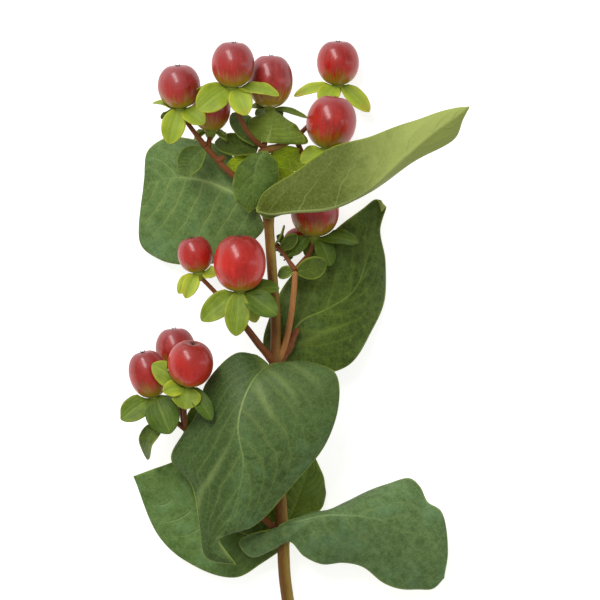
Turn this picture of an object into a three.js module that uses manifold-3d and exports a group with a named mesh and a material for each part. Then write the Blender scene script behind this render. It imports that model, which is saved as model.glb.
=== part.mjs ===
// A cut stem of hypericum with its leaves and ripe berries, lying on a flat surface.
// Millimetres, +Z up. +Y runs from the cut end of the stem towards its top.
// The origin lies on the floor, near the middle of the bounding box.
import * as THREE from 'three';
import { mergeVertices } from 'three/addons/utils/BufferGeometryUtils.js';
import Module from 'manifold-3d';

// Driving dimensions
const LEAF_THICKNESS = 0.8;
const SMALL_LEAF_THICKNESS = 0.7;
const SMALL_LEAF_CUP = 0.15;       // rise of its edges, share of the half width
const SEPAL_THICKNESS = 0.7;
const SEPALS = 5;
const SEPAL_WIDTH_TO_LENGTH = 0.65;
const SEPAL_ARCH = 0.07;           // share of the sepal's length
const SEPAL_CUP = 0.2;             // rise of its edges, share of the half width
const SEPAL_ROOT = 0.8;            // from the stalk's axis
const REAR_SPACING = 65;           // degrees round the berry
const REAR_DROOP = 0.3;            // fall for each unit outwards
const BLADE_BASE = 0.36;           // half width of a small blade's base, share of its widest
const BLADE_BELLY = 0.45;          // where a small blade is widest, share of its length
const BLADE_FALL = 2.2;            // how late it narrows beyond the belly
const BLADE_TIP = 0.62;            // how pointed its tip is
const STALK_RADIUS = 0.7;
const STALK_TIP_RADIUS = 0.6;
const NODE_SWELLING = 0.3;         // share of the stem's radius
const NODE_LENGTH = 2.4;
const RECEPTACLE_RADIUS = 1.9;
const RECEPTACLE_LENGTH = 2.4;
const RECEPTACLE_LIP = 0.7;        // how far it reaches up the berry
const RECEPTACLE_FOOT = 0.5;       // its radius at the stalk, share of its widest
const BERRY_LOBE = 0.022;          // depth of the three lobes, share of the radius
const BERRY_ROUNDNESS = 0.85;      // 1 is an ellipsoid, less is fuller towards the ends
const BERRY_DIMPLE = 0.7;
const STYLE_TURNS = [30, 150, 270];  // degrees round the berry
const STYLE_LENGTH = 1.8;
const STYLE_RADIUS = 0.35;
const STYLE_LEAN = 0.33;           // outwards for each unit upwards
const SIDEWAYS = 0.7;              // a berry axis that points further along X lies on its side
const FIT_GAP = 0.35;              // air left where one piece meets the next
const FLOOR_SIZE = 300;
const FLOOR_DEPTH = 10;

// How finely the surfaces are divided
const LEAF_STEPS = 14;
const LEAF_STEPS_ACROSS = 4;       // from the midrib to one edge
const BLADE_STEPS = 4;
const REAR_SEPAL_STEPS = 3;
const SMALL_LEAF_STEPS = 8;
const SMALL_LEAF_STEPS_ACROSS = 2;
const BERRY_SEGMENTS = 12;
const BERRY_RINGS = 6;
const STEM_SIDES = 8;
const STALK_SIDES = 6;
const RECEPTACLE_SIDES = 6;
const STYLE_SIDES = 3;
const TUBE_STEP = 5.2;
const WELD_DISTANCE = 1e-4;

// The leaves, seen from their upper face with the tip ahead: three lines from base to tip,
// along the midrib and the two edges. The belly is how far each half bulges upwards.
const LEAVES = [
  {
    name: 'leaf_low_right', belly: 0.8,
    rib: [
      [-3.5, -47.5, 12.8], [-2.4, -46.1, 13.6], [-0.7, -44.9, 14.4], [1.8, -43.9, 15.2],
      [4.9, -43.1, 16], [8.3, -42.3, 16.8], [11.9, -42.1, 17.4], [15.8, -42.2, 17.5],
      [19.8, -42.6, 17.2], [23.7, -43.3, 16.4], [27.3, -44.9, 15.2], [30.7, -47.5, 13.8],
      [34.1, -51.1, 12.2], [37.9, -55.4, 10.4], [42.3, -60, 8.5],
    ],
    left: [
      [-3.5, -47.5, 12.8], [-4.4, -45.5, 13.4], [-1.8, -43.8, 13.6], [1.5, -42.7, 13.4],
      [5.5, -41.3, 12.6], [10.2, -40.8, 11.4], [14.7, -38.6, 10], [19.8, -36, 8.8], [26, -33.6, 7.6],
      [32.8, -31.8, 6.8], [35.2, -34.1, 7.2], [37.4, -38.5, 7.8], [41.7, -41.2, 7.6],
      [43.4, -52, 8.2], [42.3, -60, 8.5],
    ],
    right: [
      [-3.5, -47.5, 12.8], [-9.4, -46.9, 12.9], [-15.3, -50, 11.4], [-11.9, -54, 11],
      [-6, -52, 12.6], [-1, -49.6, 13.4], [2.9, -53.6, 13.4], [8, -56, 12.4], [13.9, -55.6, 11.4],
      [19.5, -56.9, 11], [25.1, -61.1, 9.4], [30.2, -62.9, 8.2], [35, -63.3, 7.8], [39.2, -63, 8],
      [42.3, -60, 8.5],
    ],
  },
  {
    name: 'leaf_low_left', belly: 0.8,
    rib: [
      [-4.5, -50.5, 8.5], [-11.5, -48.5, 7], [-20, -45, 6.5], [-29, -41, 7], [-37.5, -36, 8],
      [-45, -31.3, 9.5],
    ],
    left: [
      [-4, -52.5, 8], [-9, -55.9, 6.5], [-16, -59.8, 6], [-26.3, -57.5, 4.5], [-37.5, -48.8, 5],
      [-45, -31.3, 9.5],
    ],
    right: [
      [-5, -47, 8.5], [-7.2, -39.5, 4.4], [-18, -29.5, 3], [-28, -26, 3.5], [-37, -28.5, 6.5],
      [-45, -31.3, 9.5],
    ],
  },
  {
    name: 'leaf_low_back', belly: 0.6,
    rib: [[-2.5, -45.5, 8.5], [0, -40.5, 6.5], [2, -35.5, 5], [4, -30, 4], [4.5, -23, 4]],
    left: [[-4.4, -45.6, 8.5], [-8.4, -40.5, 7.2], [-7.4, -33, 6.2], [-2.5, -26.5, 5], [4.5, -23, 4]],
    right: [[-0.5, -45, 8], [7, -41.5, 3.5], [9.1, -36.5, 1.5], [8, -30.5, 2], [4.5, -23, 4]],
  },
  {
    name: 'leaf_mid_front', belly: 1.4,
    rib: [
      [-6.5, 0.5, 19.5], [-11, -4, 23], [-14, -10, 25.5], [-15.5, -18, 27], [-14, -27, 26.5],
      [-15.5, -36.5, 24.5], [-19, -45.5, 22], [-22.5, -51, 19.5], [-16, -56, 18],
    ],
    left: [
      [-3, 0.5, 19.5], [4, 1, 20.5], [11.5, -2, 21.5], [12.7, -10.5, 22.5], [8.7, -22.6, 22.5],
      [-1, -34.5, 22], [-12, -45.5, 20.5], [-21, -47.5, 20.5], [-16, -56, 18],
    ],
    right: [
      [-9.8, 2.8, 19.5], [-16.2, 3.2, 19], [-24.5, -4.8, 17.5], [-26.6, -13, 16.5],
      [-31.1, -19.5, 15.5], [-34.5, -26.5, 14.5], [-28.5, -33.5, 18], [-26.5, -44, 19],
      [-24.5, -54, 17.5], [-16, -56, 18],
    ],
  },
  {
    name: 'leaf_mid_back', belly: 0.8,
    rib: [
      [-4, 1, 15.5], [-2, 6.5, 14.5], [2.5, 12.5, 13], [10, 16, 11], [17, 21, 8], [21, 31, 5],
      [23, 39, 4], [24.4, 46, 5.5], [24.7, 42.9, 8],
    ],
    left: [
      [-6, 1, 15.5], [-8.5, 6, 14], [-6.5, 14, 12.5], [-2.5, 22.5, 10.5], [5.5, 31.5, 7.9],
      [13, 39.1, 5.9], [19.6, 44, 5.5], [23.2, 46.5, 5.5], [24.7, 42.9, 8],
    ],
    right: [
      [-2, 0, 15], [6.5, -2.5, 13], [15.3, -0.2, 10.5], [21.9, 9.4, 6], [25.8, 18.8, 2],
      [25.8, 29, 1.5], [24.4, 38, 3], [26.1, 44.3, 5.5], [24.7, 42.9, 8],
    ],
  },
  {
    name: 'leaf_high_right', belly: -0.8,
    rib: [
      [-10.5, 43.5, 24.5], [-7, 42.5, 25], [0.5, 43, 27.5], [11, 44, 30], [21, 49, 31.5],
      [31, 58, 32.5], [40, 65.5, 33.5], [45, 69, 34.5], [49, 72, 35],
    ],
    left: [
      [-10.5, 43.5, 24.5], [-7.5, 41, 24], [1.5, 45, 21.5], [11, 46.5, 22], [21, 49.4, 24.5],
      [33.3, 56.4, 27.5], [45, 63.5, 30.5], [47.3, 68.6, 33.5], [49, 72, 35],
    ],
    right: [
      [-10.5, 43.5, 24.5], [-8.5, 48, 26], [-0.5, 53.5, 26.5], [11, 61, 27], [22, 63.9, 27.5],
      [32, 68, 28.5], [41, 70.6, 31], [45.5, 71.8, 33.5], [49, 72, 35],
    ],
  },
  {
    name: 'leaf_high_left', belly: 0.8,
    rib: [
      [-9.5, 43, 19], [-15.5, 47.5, 17], [-23, 51, 13.5], [-30, 52.5, 9], [-36, 52.5, 5.5],
      [-40, 51.5, 3], [-42, 52, 2],
    ],
    left: [
      [-7.9, 39, 19.2], [-9.6, 36.3, 17.3], [-18, 29.8, 13], [-27.5, 28, 8.5], [-37.3, 29.5, 3.5],
      [-43.1, 34, 0], [-42, 52, 2],
    ],
    right: [
      [-8.5, 45, 19], [-13.5, 54, 15.5], [-20, 61, 11], [-27.5, 63.3, 7], [-36, 63.8, 4],
      [-41.1, 60.1, 2.5], [-42, 52, 2],
    ],
  },
];

// The two broad young leaves below the top cluster, described in the same way
const BROAD_SMALL_LEAVES = [
  {
    name: 'small_leaf_top_front', belly: 0.5,
    rib: [[-8, 60, 24.6], [-10, 57, 24.8], [-11, 52, 24.8], [-11.5, 47, 24], [-12.5, 42.5, 22.5]],
    left: [[-7.5, 60, 24.6], [-4.5, 56.5, 24.2], [-4.5, 51, 24.2], [-8, 46, 23.6], [-12.5, 42.5, 22.5]],
    right: [[-8.5, 60, 24.6], [-14, 57.5, 23], [-17, 51, 22], [-16, 46, 22], [-12.5, 42.5, 22.5]],
  },
  {
    name: 'small_leaf_top_back', belly: 0.4,
    rib: [[-7.5, 62.2, 24], [-6.5, 65.3, 24.2], [-6, 68.6, 24], [-5.8, 71.4, 23.2]],
    left: [[-8.4, 62.2, 23.6], [-13, 64.5, 21.2], [-12.2, 68.6, 20.4], [-5.8, 71.4, 23.2]],
    right: [[-6.6, 62, 23.8], [4, 62.4, 20.2], [0.6, 67, 20], [-5.8, 71.4, 23.2]],
  },
];

// The narrow young leaves of the flowering shoots: a blade from base to tip that arches
// towards the side it faces.
const SMALL_LEAVES = [
  {
    name: 'small_leaf_top_left', width: 7, arch: 1,
    base: [-10.2, 60, 19.3], tip: [-22, 62.5, 13.5], face: [0, 0.4, 1],
  },
  {
    name: 'small_leaf_top_blue', width: 6.8, arch: 0.6,
    base: [-10, 61.8, 21], tip: [-17.2, 70.6, 15], face: [0.2, 0.2, 1],
  },
  {
    name: 'small_leaf_top_right', width: 8, arch: 0.8,
    base: [-6, 59.8, 20], tip: [3.3, 56.6, 12.4], face: [0, -0.3, 1],
  },
  {
    name: 'small_leaf_top_low', width: 5.4, arch: 0.4,
    base: [-6.8, 54.6, 20], tip: [1.2, 51.2, 12.4], face: [0, -0.2, 1],
  },
  {
    name: 'small_leaf_side_left', width: 8, arch: 1.2,
    base: [-25, 60.6, 20.6], tip: [-31.6, 53.4, 17], face: [-0.3, 0.3, 1],
  },
  {
    name: 'small_leaf_side_low', width: 4.4, arch: 0.5,
    base: [-11.4, 59.8, 17.4], tip: [-19, 54.2, 17], face: [0, -0.2, 1],
  },
  {
    name: 'small_leaf_fork_left', width: 4, arch: 0.4,
    base: [0.1, 26.5, 18.4], tip: [-4.4, 25, 16.5], face: [0, 0.5, 1],
  },
  {
    name: 'small_leaf_fork_right', width: 6.6, arch: 0.8,
    base: [1, 26.4, 18.4], tip: [9.3, 28.5, 16.5], face: [0, -0.3, 1],
  },
  {
    name: 'small_leaf_prong_up', width: 3, arch: 0.3,
    base: [-4.9, 34, 15.2], tip: [-2.6, 39.2, 17.4], face: [1, 0.5, 0.4],
  },
  {
    name: 'small_leaf_prong_right', width: 4, arch: 0.3,
    base: [-3.5, 32.5, 14.2], tip: [1, 36.6, 13.8], face: [0, -0.3, 1],
  },
  {
    name: 'small_leaf_low_point', width: 6.4, arch: 3.6,
    base: [-35.4, -15.4, 13.2], tip: [-41, -26.6, 10], face: [-0.65, 0.25, 0.75],
  },
  {
    name: 'small_leaf_low_back', width: 4.6, arch: 0.5,
    base: [-29.2, -18.2, 12], tip: [-25.8, -10.6, 9.8], face: [0, 0, 1],
  },
];

// The stem and the shoots that fork from it, each with its radius at its root and its tip.
const STEM = { radii: [1.85, 1.3], path: [
  [1.5, -91.5, 1.5], [-0.5, -74, 5], [-2.5, -59, 8.5], [-3, -47.5, 10.5], [-4, -32, 13],
  [-4.5, -12.5, 15.5], [-5, 1, 17.5], [-5, 12.5, 18.5], [-6, 26.5, 20], [-7, 41, 21],
  [-7.5, 52, 22], [-8.5, 61, 22.5],
] };
const STEM_NODES = [[-3, -47.5, 10.5], [-5, 1, 17.5], [-7.2, 42.5, 21.1], [-8.5, 60.5, 22.5]];
const SHOOTS = [
  { radii: [1, 0.8], path: [
    [-3.5, -47.5, 10.5], [-9, -42.5, 11.8], [-19, -33, 12], [-27, -25, 12], [-30.5, -18, 12.5],
  ] },
  { radii: [1.15, 0.9], path: [[-5, 0.5, 17.5], [-9.2, 5.2, 20], [-12.7, 9.8, 22.5], [-16, 14, 23.5]] },
  { radii: [0.95, 0.75], path: [
    [-4.5, 0.5, 17.5], [-2.5, 5.5, 18], [-0.9, 12.5, 18.5], [0.2, 21.5, 18.5], [0.5, 26.5, 18.5],
  ] },
  { radii: [0.62, 0.5], path: [[0.5, 26.5, 18.5], [-2, 30, 16.5], [-4.5, 33.5, 14.5]] },
  { radii: [1.3, 0.8], path: [
    [-4.5, 0.5, 17.2], [-2.3, 4.2, 16.6], [-0.4, 7.4, 16.2], [1.3, 10.4, 15.9],
  ] },
  { radii: [0.95, 0.8], path: [
    [-7.5, 44, 21.3], [-13.8, 50.4, 21], [-20, 56, 21.3], [-24.8, 61.4, 21.5],
  ] },
  { radii: [0.9, 0.75], path: [[-8, 60, 22.5], [-3.5, 61.5, 20.5], [0.5, 63.5, 17.5]] },
  { radii: [0.85, 0.6], path: [[-21, 57.2, 21.3], [-19.2, 58.4, 21.9]] },
];

// The berries: centre, size, the direction of the tip, the first points of the stalk, and the
// sepals that stand apart, each [reach right, up and forward, width, how far it faces forward].
// The rest of the five spread by rule behind: rear is their length and the turn of their middle,
// in degrees.
const BERRIES = [
  {
    name: 'top_left', width: 12, height: 12.4, rear: [6.5, 240],
    at: [-32, 78, 24], up: [-0.06, 0.99, 0.13],
    stalk: [[-24.8, 61.4, 21.5], [-28.7, 66.4, 22.8]],
    sepals: [[-7.9, 2.6, -1, 4.4, 10], [-3.2, -8.8, 3, 6.8, 90], [6.6, -3.2, 5, 6, 65]],
  },
  {
    name: 'top_front', width: 12, height: 13, rear: [7, 270],
    at: [-16.9, 84, 30], up: [0.04, 0.99, 0.11],
    stalk: [[-8.5, 61, 22.5], [-12, 64, 26], [-15.5, 70.5, 28.5]],
    sepals: [
      [-9.6, -5.2, 3.5, 8.4, 75], [4.2, -6.8, 4, 6.6, 80], [13.2, -1.2, 2, 6, 30],
      [-10, 1, -1.5, 4.6, 5],
    ],
  },
  {
    name: 'top_low', width: 10.8, height: 13, rear: [4.5, 270],
    at: [-23, 72, 19], up: [0.04, 1, 0.04],
    stalk: [[-24, 60.6, 21.3]],
    sepals: [[5, -1.6, -1.5, 4.2, 30], [-4.6, -1.4, -1.5, 4.2, 30]],
  },
  {
    name: 'top_middle', width: 12.6, height: 15, rear: [6, 270],
    at: [-6.5, 79.5, 21], up: [0.04, 1, 0.06],
    stalk: [[-8.5, 60.5, 22.5], [-7.5, 64.5, 21.5]],
    sepals: [[10.6, -1.9, -2.4, 2.6, 40], [4.8, -3.6, -4.6, 4.4, 20], [-5.2, 1.6, -1.2, 4, 30]],
  },
  {
    name: 'top_right', width: 11.9, height: 12.7, rear: [7, 270],
    at: [12.5, 85, 6], up: [0, 0.99, 0.11],
    stalk: [[0.5, 63.5, 17.5], [5, 68, 10.5], [10, 73, 6.5]],
    sepals: [[-12.4, -1.9, 1, 4.2, 42], [-4.6, -4.6, 6, 6.4, 55], [8.8, -6.5, 2.5, 5.2, 60]],
  },
  {
    name: 'top_large', width: 14, height: 15.2, rear: [6, 270],
    at: [10.6, 68, 17], up: [0.17, 0.99, 0],
    stalk: [[0.5, 63.5, 17.5], [3.5, 58, 16.3], [7, 56, 16.7]],
    sepals: [[-7, -2.6, 2.5, 5.2, 50], [7, -3, 3.5, 5.4, 30]],
  },
  {
    name: 'middle_right', width: 13.6, height: 14, rear: [4.6, 290],
    at: [6, 43, 12], up: [0.04, 1, 0.06],
    stalk: [[0.5, 26.5, 18.5], [2.5, 29, 15.5], [4.5, 31.5, 12.5]],
    sepals: [
      [12.6, -1, 2.5, 6.2, 40], [-7.2, -4.4, 0.5, 5, 50], [4.9, -7, 1.2, 5.6, 60],
      [-0.6, -5.6, -1.6, 5.2, 55],
    ],
  },
  {
    name: 'middle_front', width: 14.6, height: 16, rear: [7, 270],
    at: [-15, 28.5, 29], up: [0, 1, 0.09],
    stalk: [[-16, 14, 23.5], [-15.8, 16.5, 26.5]],
    sepals: [
      [-10.7, -6.8, 2.5, 7, 80], [-1.1, -11.2, 3, 7.2, 90], [10.4, -5.6, 3, 7.4, 70],
      [11, 2, -2.5, 6.6, 40], [4.6, -7.4, -1.5, 5.4, 50],
    ],
  },
  {
    name: 'middle_left', width: 9.8, height: 10.4, rear: [5, 270],
    at: [-27.5, 31, 23], up: [-0.21, 0.98, 0.08],
    stalk: [[-16, 14, 23.5], [-22, 20.5, 23]],
    sepals: [[-6, -4.8, 1.5, 4.4, 60], [-4, -6, 3.4, 4.6, 80], [4.6, 0.6, 2.8, 4.2, 60]],
  },
  {
    name: 'low_left', width: 10.9, height: 13.6, rear: [6, 270],
    at: [-40.7, -2.5, 15], up: [-0.25, 0.96, 0.13],
    stalk: [[-30.5, -18, 12.5], [-34, -15, 14]],
    sepals: [[-9.7, -5.2, 1.5, 7.2, 75], [4.2, -9.2, 4, 9.6, 90]],
  },
  {
    name: 'low_front', width: 12.8, height: 13, rear: [5, 250],
    at: [-28.8, 0.4, 23.5], up: [0.11, 0.95, 0.3],
    stalk: [[-30.5, -18, 12.5], [-30.5, -15, 15], [-30.5, -11, 18.5]],
    sepals: [
      [-9.8, 7.2, 1.5, 7, 85], [-0.8, -5.4, 3.5, 8.4, 80], [6.8, -8.6, 3.4, 5, 70],
      [-7, -0.6, 3.6, 5, 75],
    ],
  },
  {
    name: 'low_back', width: 11.2, height: 12.2, rear: [6, 270],
    at: [-33.2, 4.5, 8], up: [-0.07, 1, 0.05],
    stalk: [[-30.5, -18, 12.5], [-31.5, -13, 11], [-32.5, -7.5, 9]],
    sepals: [[-4.6, -3.6, 1.2, 5, 40], [5.4, -3, 2, 5, 40]],
  },
  {
    name: 'middle_small', width: 7, height: 7.4, rear: [3.6, 270],
    at: [1, 35, 4.6], up: [0.88, 0.47, -0.12],
    stalk: [[-4.5, 33.5, 14.5], [-5.4, 32.5, 9.5]],
    sepals: [[-1.4, 3.6, 1.4, 3.2, 50], [1.6, -3.4, 1.8, 3.2, 50]],
  },
];

const finish = (color, roughness) => new THREE.MeshStandardMaterial({ color, roughness, metalness: 0 });
const LEAF_GREEN = finish(0x4d6b3a, 0.55);
const YOUNG_GREEN = finish(0x5f7f3a, 0.55);
const SEPAL_GREEN = finish(0x98ad3f, 0.55);
const BERRY_RED = finish(0xb52a2e, 0.3);
const STEM_BROWN = finish(0x8c5a3a, 0.6);

const wasm = await Module();
wasm.setup();

const vec = (numbers) => new THREE.Vector3(...numbers);
const degrees = THREE.MathUtils.degToRad;
const smoothCurve = (points) => new THREE.CatmullRomCurve3(points);

function solidOf(vertices, triangles) {
  const mesh = new wasm.Mesh({
    numProp: 3,
    vertProperties: new Float32Array(vertices.flatMap((v) => [v.x, v.y, v.z])),
    triVerts: new Uint32Array(triangles.flat()),
  });
  return new wasm.Manifold(mesh);
}

function meshOf(name, solid, material) {
  const { vertProperties, triVerts } = solid.getMesh();
  const geometry = new THREE.BufferGeometry();
  geometry.setAttribute('position', new THREE.BufferAttribute(vertProperties, 3));
  geometry.setIndex(new THREE.BufferAttribute(triVerts, 1));
  geometry.computeVertexNormals();
  const mesh = new THREE.Mesh(geometry, material);
  mesh.name = name;
  return mesh;
}

// Rings of points closed at both ends by a pole
function solidFromRings(rings, firstPole, lastPole) {
  const sides = rings[0].length;
  const vertices = [firstPole, ...rings.flat(), lastPole];
  const index = (ring, side) => 1 + ring * sides + (side % sides);
  const triangles = [];
  for (let side = 0; side < sides; side += 1) {
    triangles.push([0, index(0, side + 1), index(0, side)]);
    for (let ring = 0; ring + 1 < rings.length; ring += 1) {
      const [a, b] = [index(ring, side), index(ring, side + 1)];
      const [c, d] = [index(ring + 1, side), index(ring + 1, side + 1)];
      triangles.push([a, b, d], [a, d, c]);
    }
    const last = rings.length - 1;
    triangles.push([vertices.length - 1, index(last, side), index(last, side + 1)]);
  }
  return solidOf(vertices, triangles);
}

// A round rod along a smooth line, whose radius may change on the way and whose far end
// may run on past the line
function rod(points, radiusAt, sides, past = 0) {
  const curve = smoothCurve(points);
  const steps = Math.max(1, Math.round(curve.getLength() / TUBE_STEP));
  const { normals, binormals } = curve.computeFrenetFrames(steps, false);
  const centres = normals.map((_, i) => curve.getPointAt(i / steps));
  const rings = centres.map((centre, i) => {
    const radius = radiusAt(i / steps, centre);
    return Array.from({ length: sides }, (_, side) => {
      const angle = (2 * Math.PI * side) / sides;
      return centre.clone()
        .addScaledVector(normals[i], radius * Math.cos(angle))
        .addScaledVector(binormals[i], radius * Math.sin(angle));
    });
  });
  const onwards = curve.getTangentAt(1).multiplyScalar(past);
  if (past > 0) rings.push(rings[steps].map((corner) => corner.clone().add(onwards)));
  return solidFromRings(rings, centres[0], centres[steps].clone().add(onwards));
}

const tapered = (from, to) => (t) => from + (to - from) * t;

// A thin blade: the rows of its middle surface get half the thickness on each side,
// and both faces are split into the same triangles.
function sheet(rows, thickness) {
  const width = rows[0].length;
  const middle = new THREE.BufferGeometry().setFromPoints(rows.flat());
  const index = [];
  for (let i = 0; i + 1 < rows.length; i += 1) {
    for (let j = 0; j + 1 < width; j += 1) {
      const [a, b] = [i * width + j, i * width + j + 1];
      const [c, d] = [a + width, b + width];
      index.push(...((i + j) % 2 ? [a, b, d, a, d, c] : [a, b, c, b, d, c]));
    }
  }
  middle.setIndex(index);
  const welded = mergeVertices(middle, WELD_DISTANCE);
  const corners = Array.from(welded.index.array);
  const faces = [];
  for (let i = 0; i < corners.length; i += 3) {
    const [a, b, c] = corners.slice(i, i + 3);
    if (a !== b && b !== c && c !== a) faces.push([a, b, c]);
  }
  welded.setIndex(faces.flat());
  welded.computeVertexNormals();
  const { position, normal } = welded.attributes;
  const count = position.count;
  const offset = (side) => Array.from({ length: count }, (_, i) => new THREE.Vector3()
    .fromBufferAttribute(position, i)
    .addScaledVector(new THREE.Vector3().fromBufferAttribute(normal, i), (side * thickness) / 2));
  const directed = new Set(faces.flatMap(([a, b, c]) => [`${a},${b}`, `${b},${c}`, `${c},${a}`]));
  const walls = [];
  for (const edge of directed) {
    const [a, b] = edge.split(',').map(Number);
    if (!directed.has(`${b},${a}`)) walls.push([b, a, a + count], [b, a + count, b + count]);
  }
  const under = faces.map(([a, b, c]) => [a + count, c + count, b + count]);
  return solidOf([...offset(1), ...offset(-1)], [...faces, ...under, ...walls]);
}

function leafSolid({ rib, left, right, belly }, steps, stepsAcross, thickness) {
  const [ribLine, leftLine, rightLine] = [rib, left, right].map((line) => smoothCurve(line.map(vec)));
  const widest = Math.max(...rib.map((_, i) => vec(left[i]).distanceTo(vec(right[i])))) / 2;
  const rows = [];
  for (let i = 0; i <= steps; i += 1) {
    const t = i / steps;
    const centre = ribLine.getPoint(t);
    const along = ribLine.getTangent(t);
    const row = [];
    for (let j = -stepsAcross; j <= stepsAcross; j += 1) {
      const share = Math.abs(j) / stepsAcross;
      const reach = (j < 0 ? leftLine : rightLine).getPoint(t).sub(centre);
      const upward = j < 0 ? along.clone().cross(reach) : reach.clone().cross(along);
      const bulge = belly * 4 * share * (1 - share) * Math.min(1, reach.length() / widest);
      row.push(centre.clone().addScaledVector(reach, share).addScaledVector(upward.normalize(), bulge));
    }
    rows.push(row);
  }
  return sheet(rows, thickness);
}

// Half width of a small blade along its length: a waisted base, a belly and a rounded point
function bladeOutline(u) {
  if (u < BLADE_BELLY) {
    return BLADE_BASE + (1 - BLADE_BASE) * Math.sin((Math.PI / 2) * (u / BLADE_BELLY));
  }
  return (1 - ((u - BLADE_BELLY) / (1 - BLADE_BELLY)) ** BLADE_FALL) ** BLADE_TIP;
}

// A blade from one point to another that arches towards the side it faces
function blade(from, to, { width, face, arch, cup, across, steps, thickness }) {
  const chord = to.clone().sub(from);
  const side = chord.clone().cross(face).normalize();
  const outward = side.clone().cross(chord).normalize();
  const rows = Array.from({ length: steps + 1 }, (_, i) => {
    const u = Math.sin((Math.PI / 2) * (i / steps));
    const rise = arch * Math.sin(Math.PI * u);
    const centre = from.clone().addScaledVector(chord, u).addScaledVector(outward, rise);
    const half = (width / 2) * bladeOutline(u);
    return across.map((s) => centre.clone()
      .addScaledVector(side, half * s)
      .addScaledVector(outward, cup * half * s * s));
  });
  return sheet(rows, thickness);
}

const smallLeafSolid = ({ base, tip, width, face, arch }) => blade(vec(base), vec(tip), {
  width,
  face: vec(face),
  arch,
  cup: SMALL_LEAF_CUP,
  across: [-1, -0.5, 0, 0.5, 1],
  steps: BLADE_STEPS,
  thickness: SMALL_LEAF_THICKNESS,
});

// A berry's own axes: its axis, the level direction to the right and the one to the front
function berryAxes({ up }) {
  const axis = vec(up).normalize();
  const level = Math.abs(axis.x) > SIDEWAYS ? vec([0, 0, 1]) : vec([1, 0, 0]);
  level.addScaledVector(axis, -level.dot(axis)).normalize();
  return { axis, level, front: level.clone().cross(axis) };
}

function berryBody(berry, grow) {
  const { axis, level, front } = berryAxes(berry);
  const centre = vec(berry.at);
  const half = berry.height / 2 + grow;
  const ringAt = (polar) => {
    const rise = -half * Math.cos(polar);
    return Array.from({ length: BERRY_SEGMENTS }, (_, side) => {
      const turn = (2 * Math.PI * side) / BERRY_SEGMENTS;
      const lobed = 1 + BERRY_LOBE * Math.cos(3 * turn);
      const radius = (berry.width / 2 + grow) * Math.sin(polar) ** BERRY_ROUNDNESS * lobed;
      return centre.clone().addScaledVector(axis, rise)
        .addScaledVector(front, radius * Math.cos(turn))
        .addScaledVector(level, radius * Math.sin(turn));
    });
  };
  const polars = Array.from({ length: BERRY_RINGS }, (_, i) => (Math.PI * (i + 1)) / (BERRY_RINGS + 1));
  const bottom = centre.clone().addScaledVector(axis, -half);
  const top = centre.clone().addScaledVector(axis, half - BERRY_DIMPLE);
  return solidFromRings(polars.map(ringAt), bottom, top);
}

function berrySolid(berry) {
  const { axis, level, front } = berryAxes(berry);
  const root = vec(berry.at).addScaledVector(axis, berry.height / 2 - 2 * BERRY_DIMPLE);
  let solid = berryBody(berry, 0);
  for (const turn of STYLE_TURNS.map(degrees)) {
    const lean = level.clone().multiplyScalar(Math.cos(turn)).addScaledVector(front, Math.sin(turn));
    const tip = root.clone().addScaledVector(axis, STYLE_LENGTH)
      .addScaledVector(lean, STYLE_LENGTH * STYLE_LEAN);
    solid = solid.add(rod([root, tip], tapered(STYLE_RADIUS, STYLE_RADIUS / 2), STYLE_SIDES));
  }
  return solid;
}

const berryFoot = (berry, below) => vec(berry.at)
  .addScaledVector(berryAxes(berry).axis, -berry.height / 2 - below);

function sepalSolid(berry, reach, { width, face, across, steps }) {
  const { axis } = berryAxes(berry);
  const foot = berryFoot(berry, RECEPTACLE_LENGTH / 2);
  const outward = reach.clone().addScaledVector(axis, -reach.dot(axis)).normalize();
  const root = foot.clone().addScaledVector(outward, SEPAL_ROOT);
  return blade(root, foot.clone().add(reach), {
    width,
    face,
    across,
    steps,
    arch: SEPAL_ARCH * reach.length(),
    cup: SEPAL_CUP,
    thickness: SEPAL_THICKNESS,
  });
}

// Sepals that are placed one by one, and the rest of the five behind
function sepalSolids(berry) {
  const { axis, level, front } = berryAxes(berry);
  const placed = berry.sepals.map(([x, y, z, width, facing]) => {
    const face = axis.clone().multiplyScalar(Math.cos(degrees(facing)));
    face.z += Math.sin(degrees(facing));
    return sepalSolid(berry, vec([x, y, z]), { width, face, across: [-1, 0, 1], steps: BLADE_STEPS });
  });
  const spare = SEPALS - placed.length;
  const [rearLength, rearTurn] = berry.rear;
  const behind = Array.from({ length: spare }, (_, i) => {
    const turn = degrees(rearTurn + REAR_SPACING * (i - (spare - 1) / 2));
    const reach = level.clone().multiplyScalar(Math.cos(turn)).addScaledVector(front, Math.sin(turn))
      .addScaledVector(axis, -REAR_DROOP).setLength(rearLength);
    const width = rearLength * SEPAL_WIDTH_TO_LENGTH;
    return sepalSolid(berry, reach, { width, face: axis, across: [-1, 1], steps: REAR_SEPAL_STEPS });
  });
  return [...placed, ...behind];
}

function calyxSolid(berry, stemRoom) {
  const drops = [RECEPTACLE_LENGTH, RECEPTACLE_LENGTH / 2, -RECEPTACLE_LIP];
  const line = drops.map((drop) => berryFoot(berry, drop));
  const flare = (t) => Math.sin(Math.PI * Math.min(0.5, t));
  const widening = (t) => RECEPTACLE_RADIUS * (RECEPTACLE_FOOT + (1 - RECEPTACLE_FOOT) * flare(t));
  const receptacle = rod(line, widening, RECEPTACLE_SIDES);
  const fused = sepalSolids(berry).reduce((solid, sepal) => solid.add(sepal), receptacle);
  return fused.subtract(berryBody(berry, FIT_GAP)).subtract(stemRoom);
}

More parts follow.
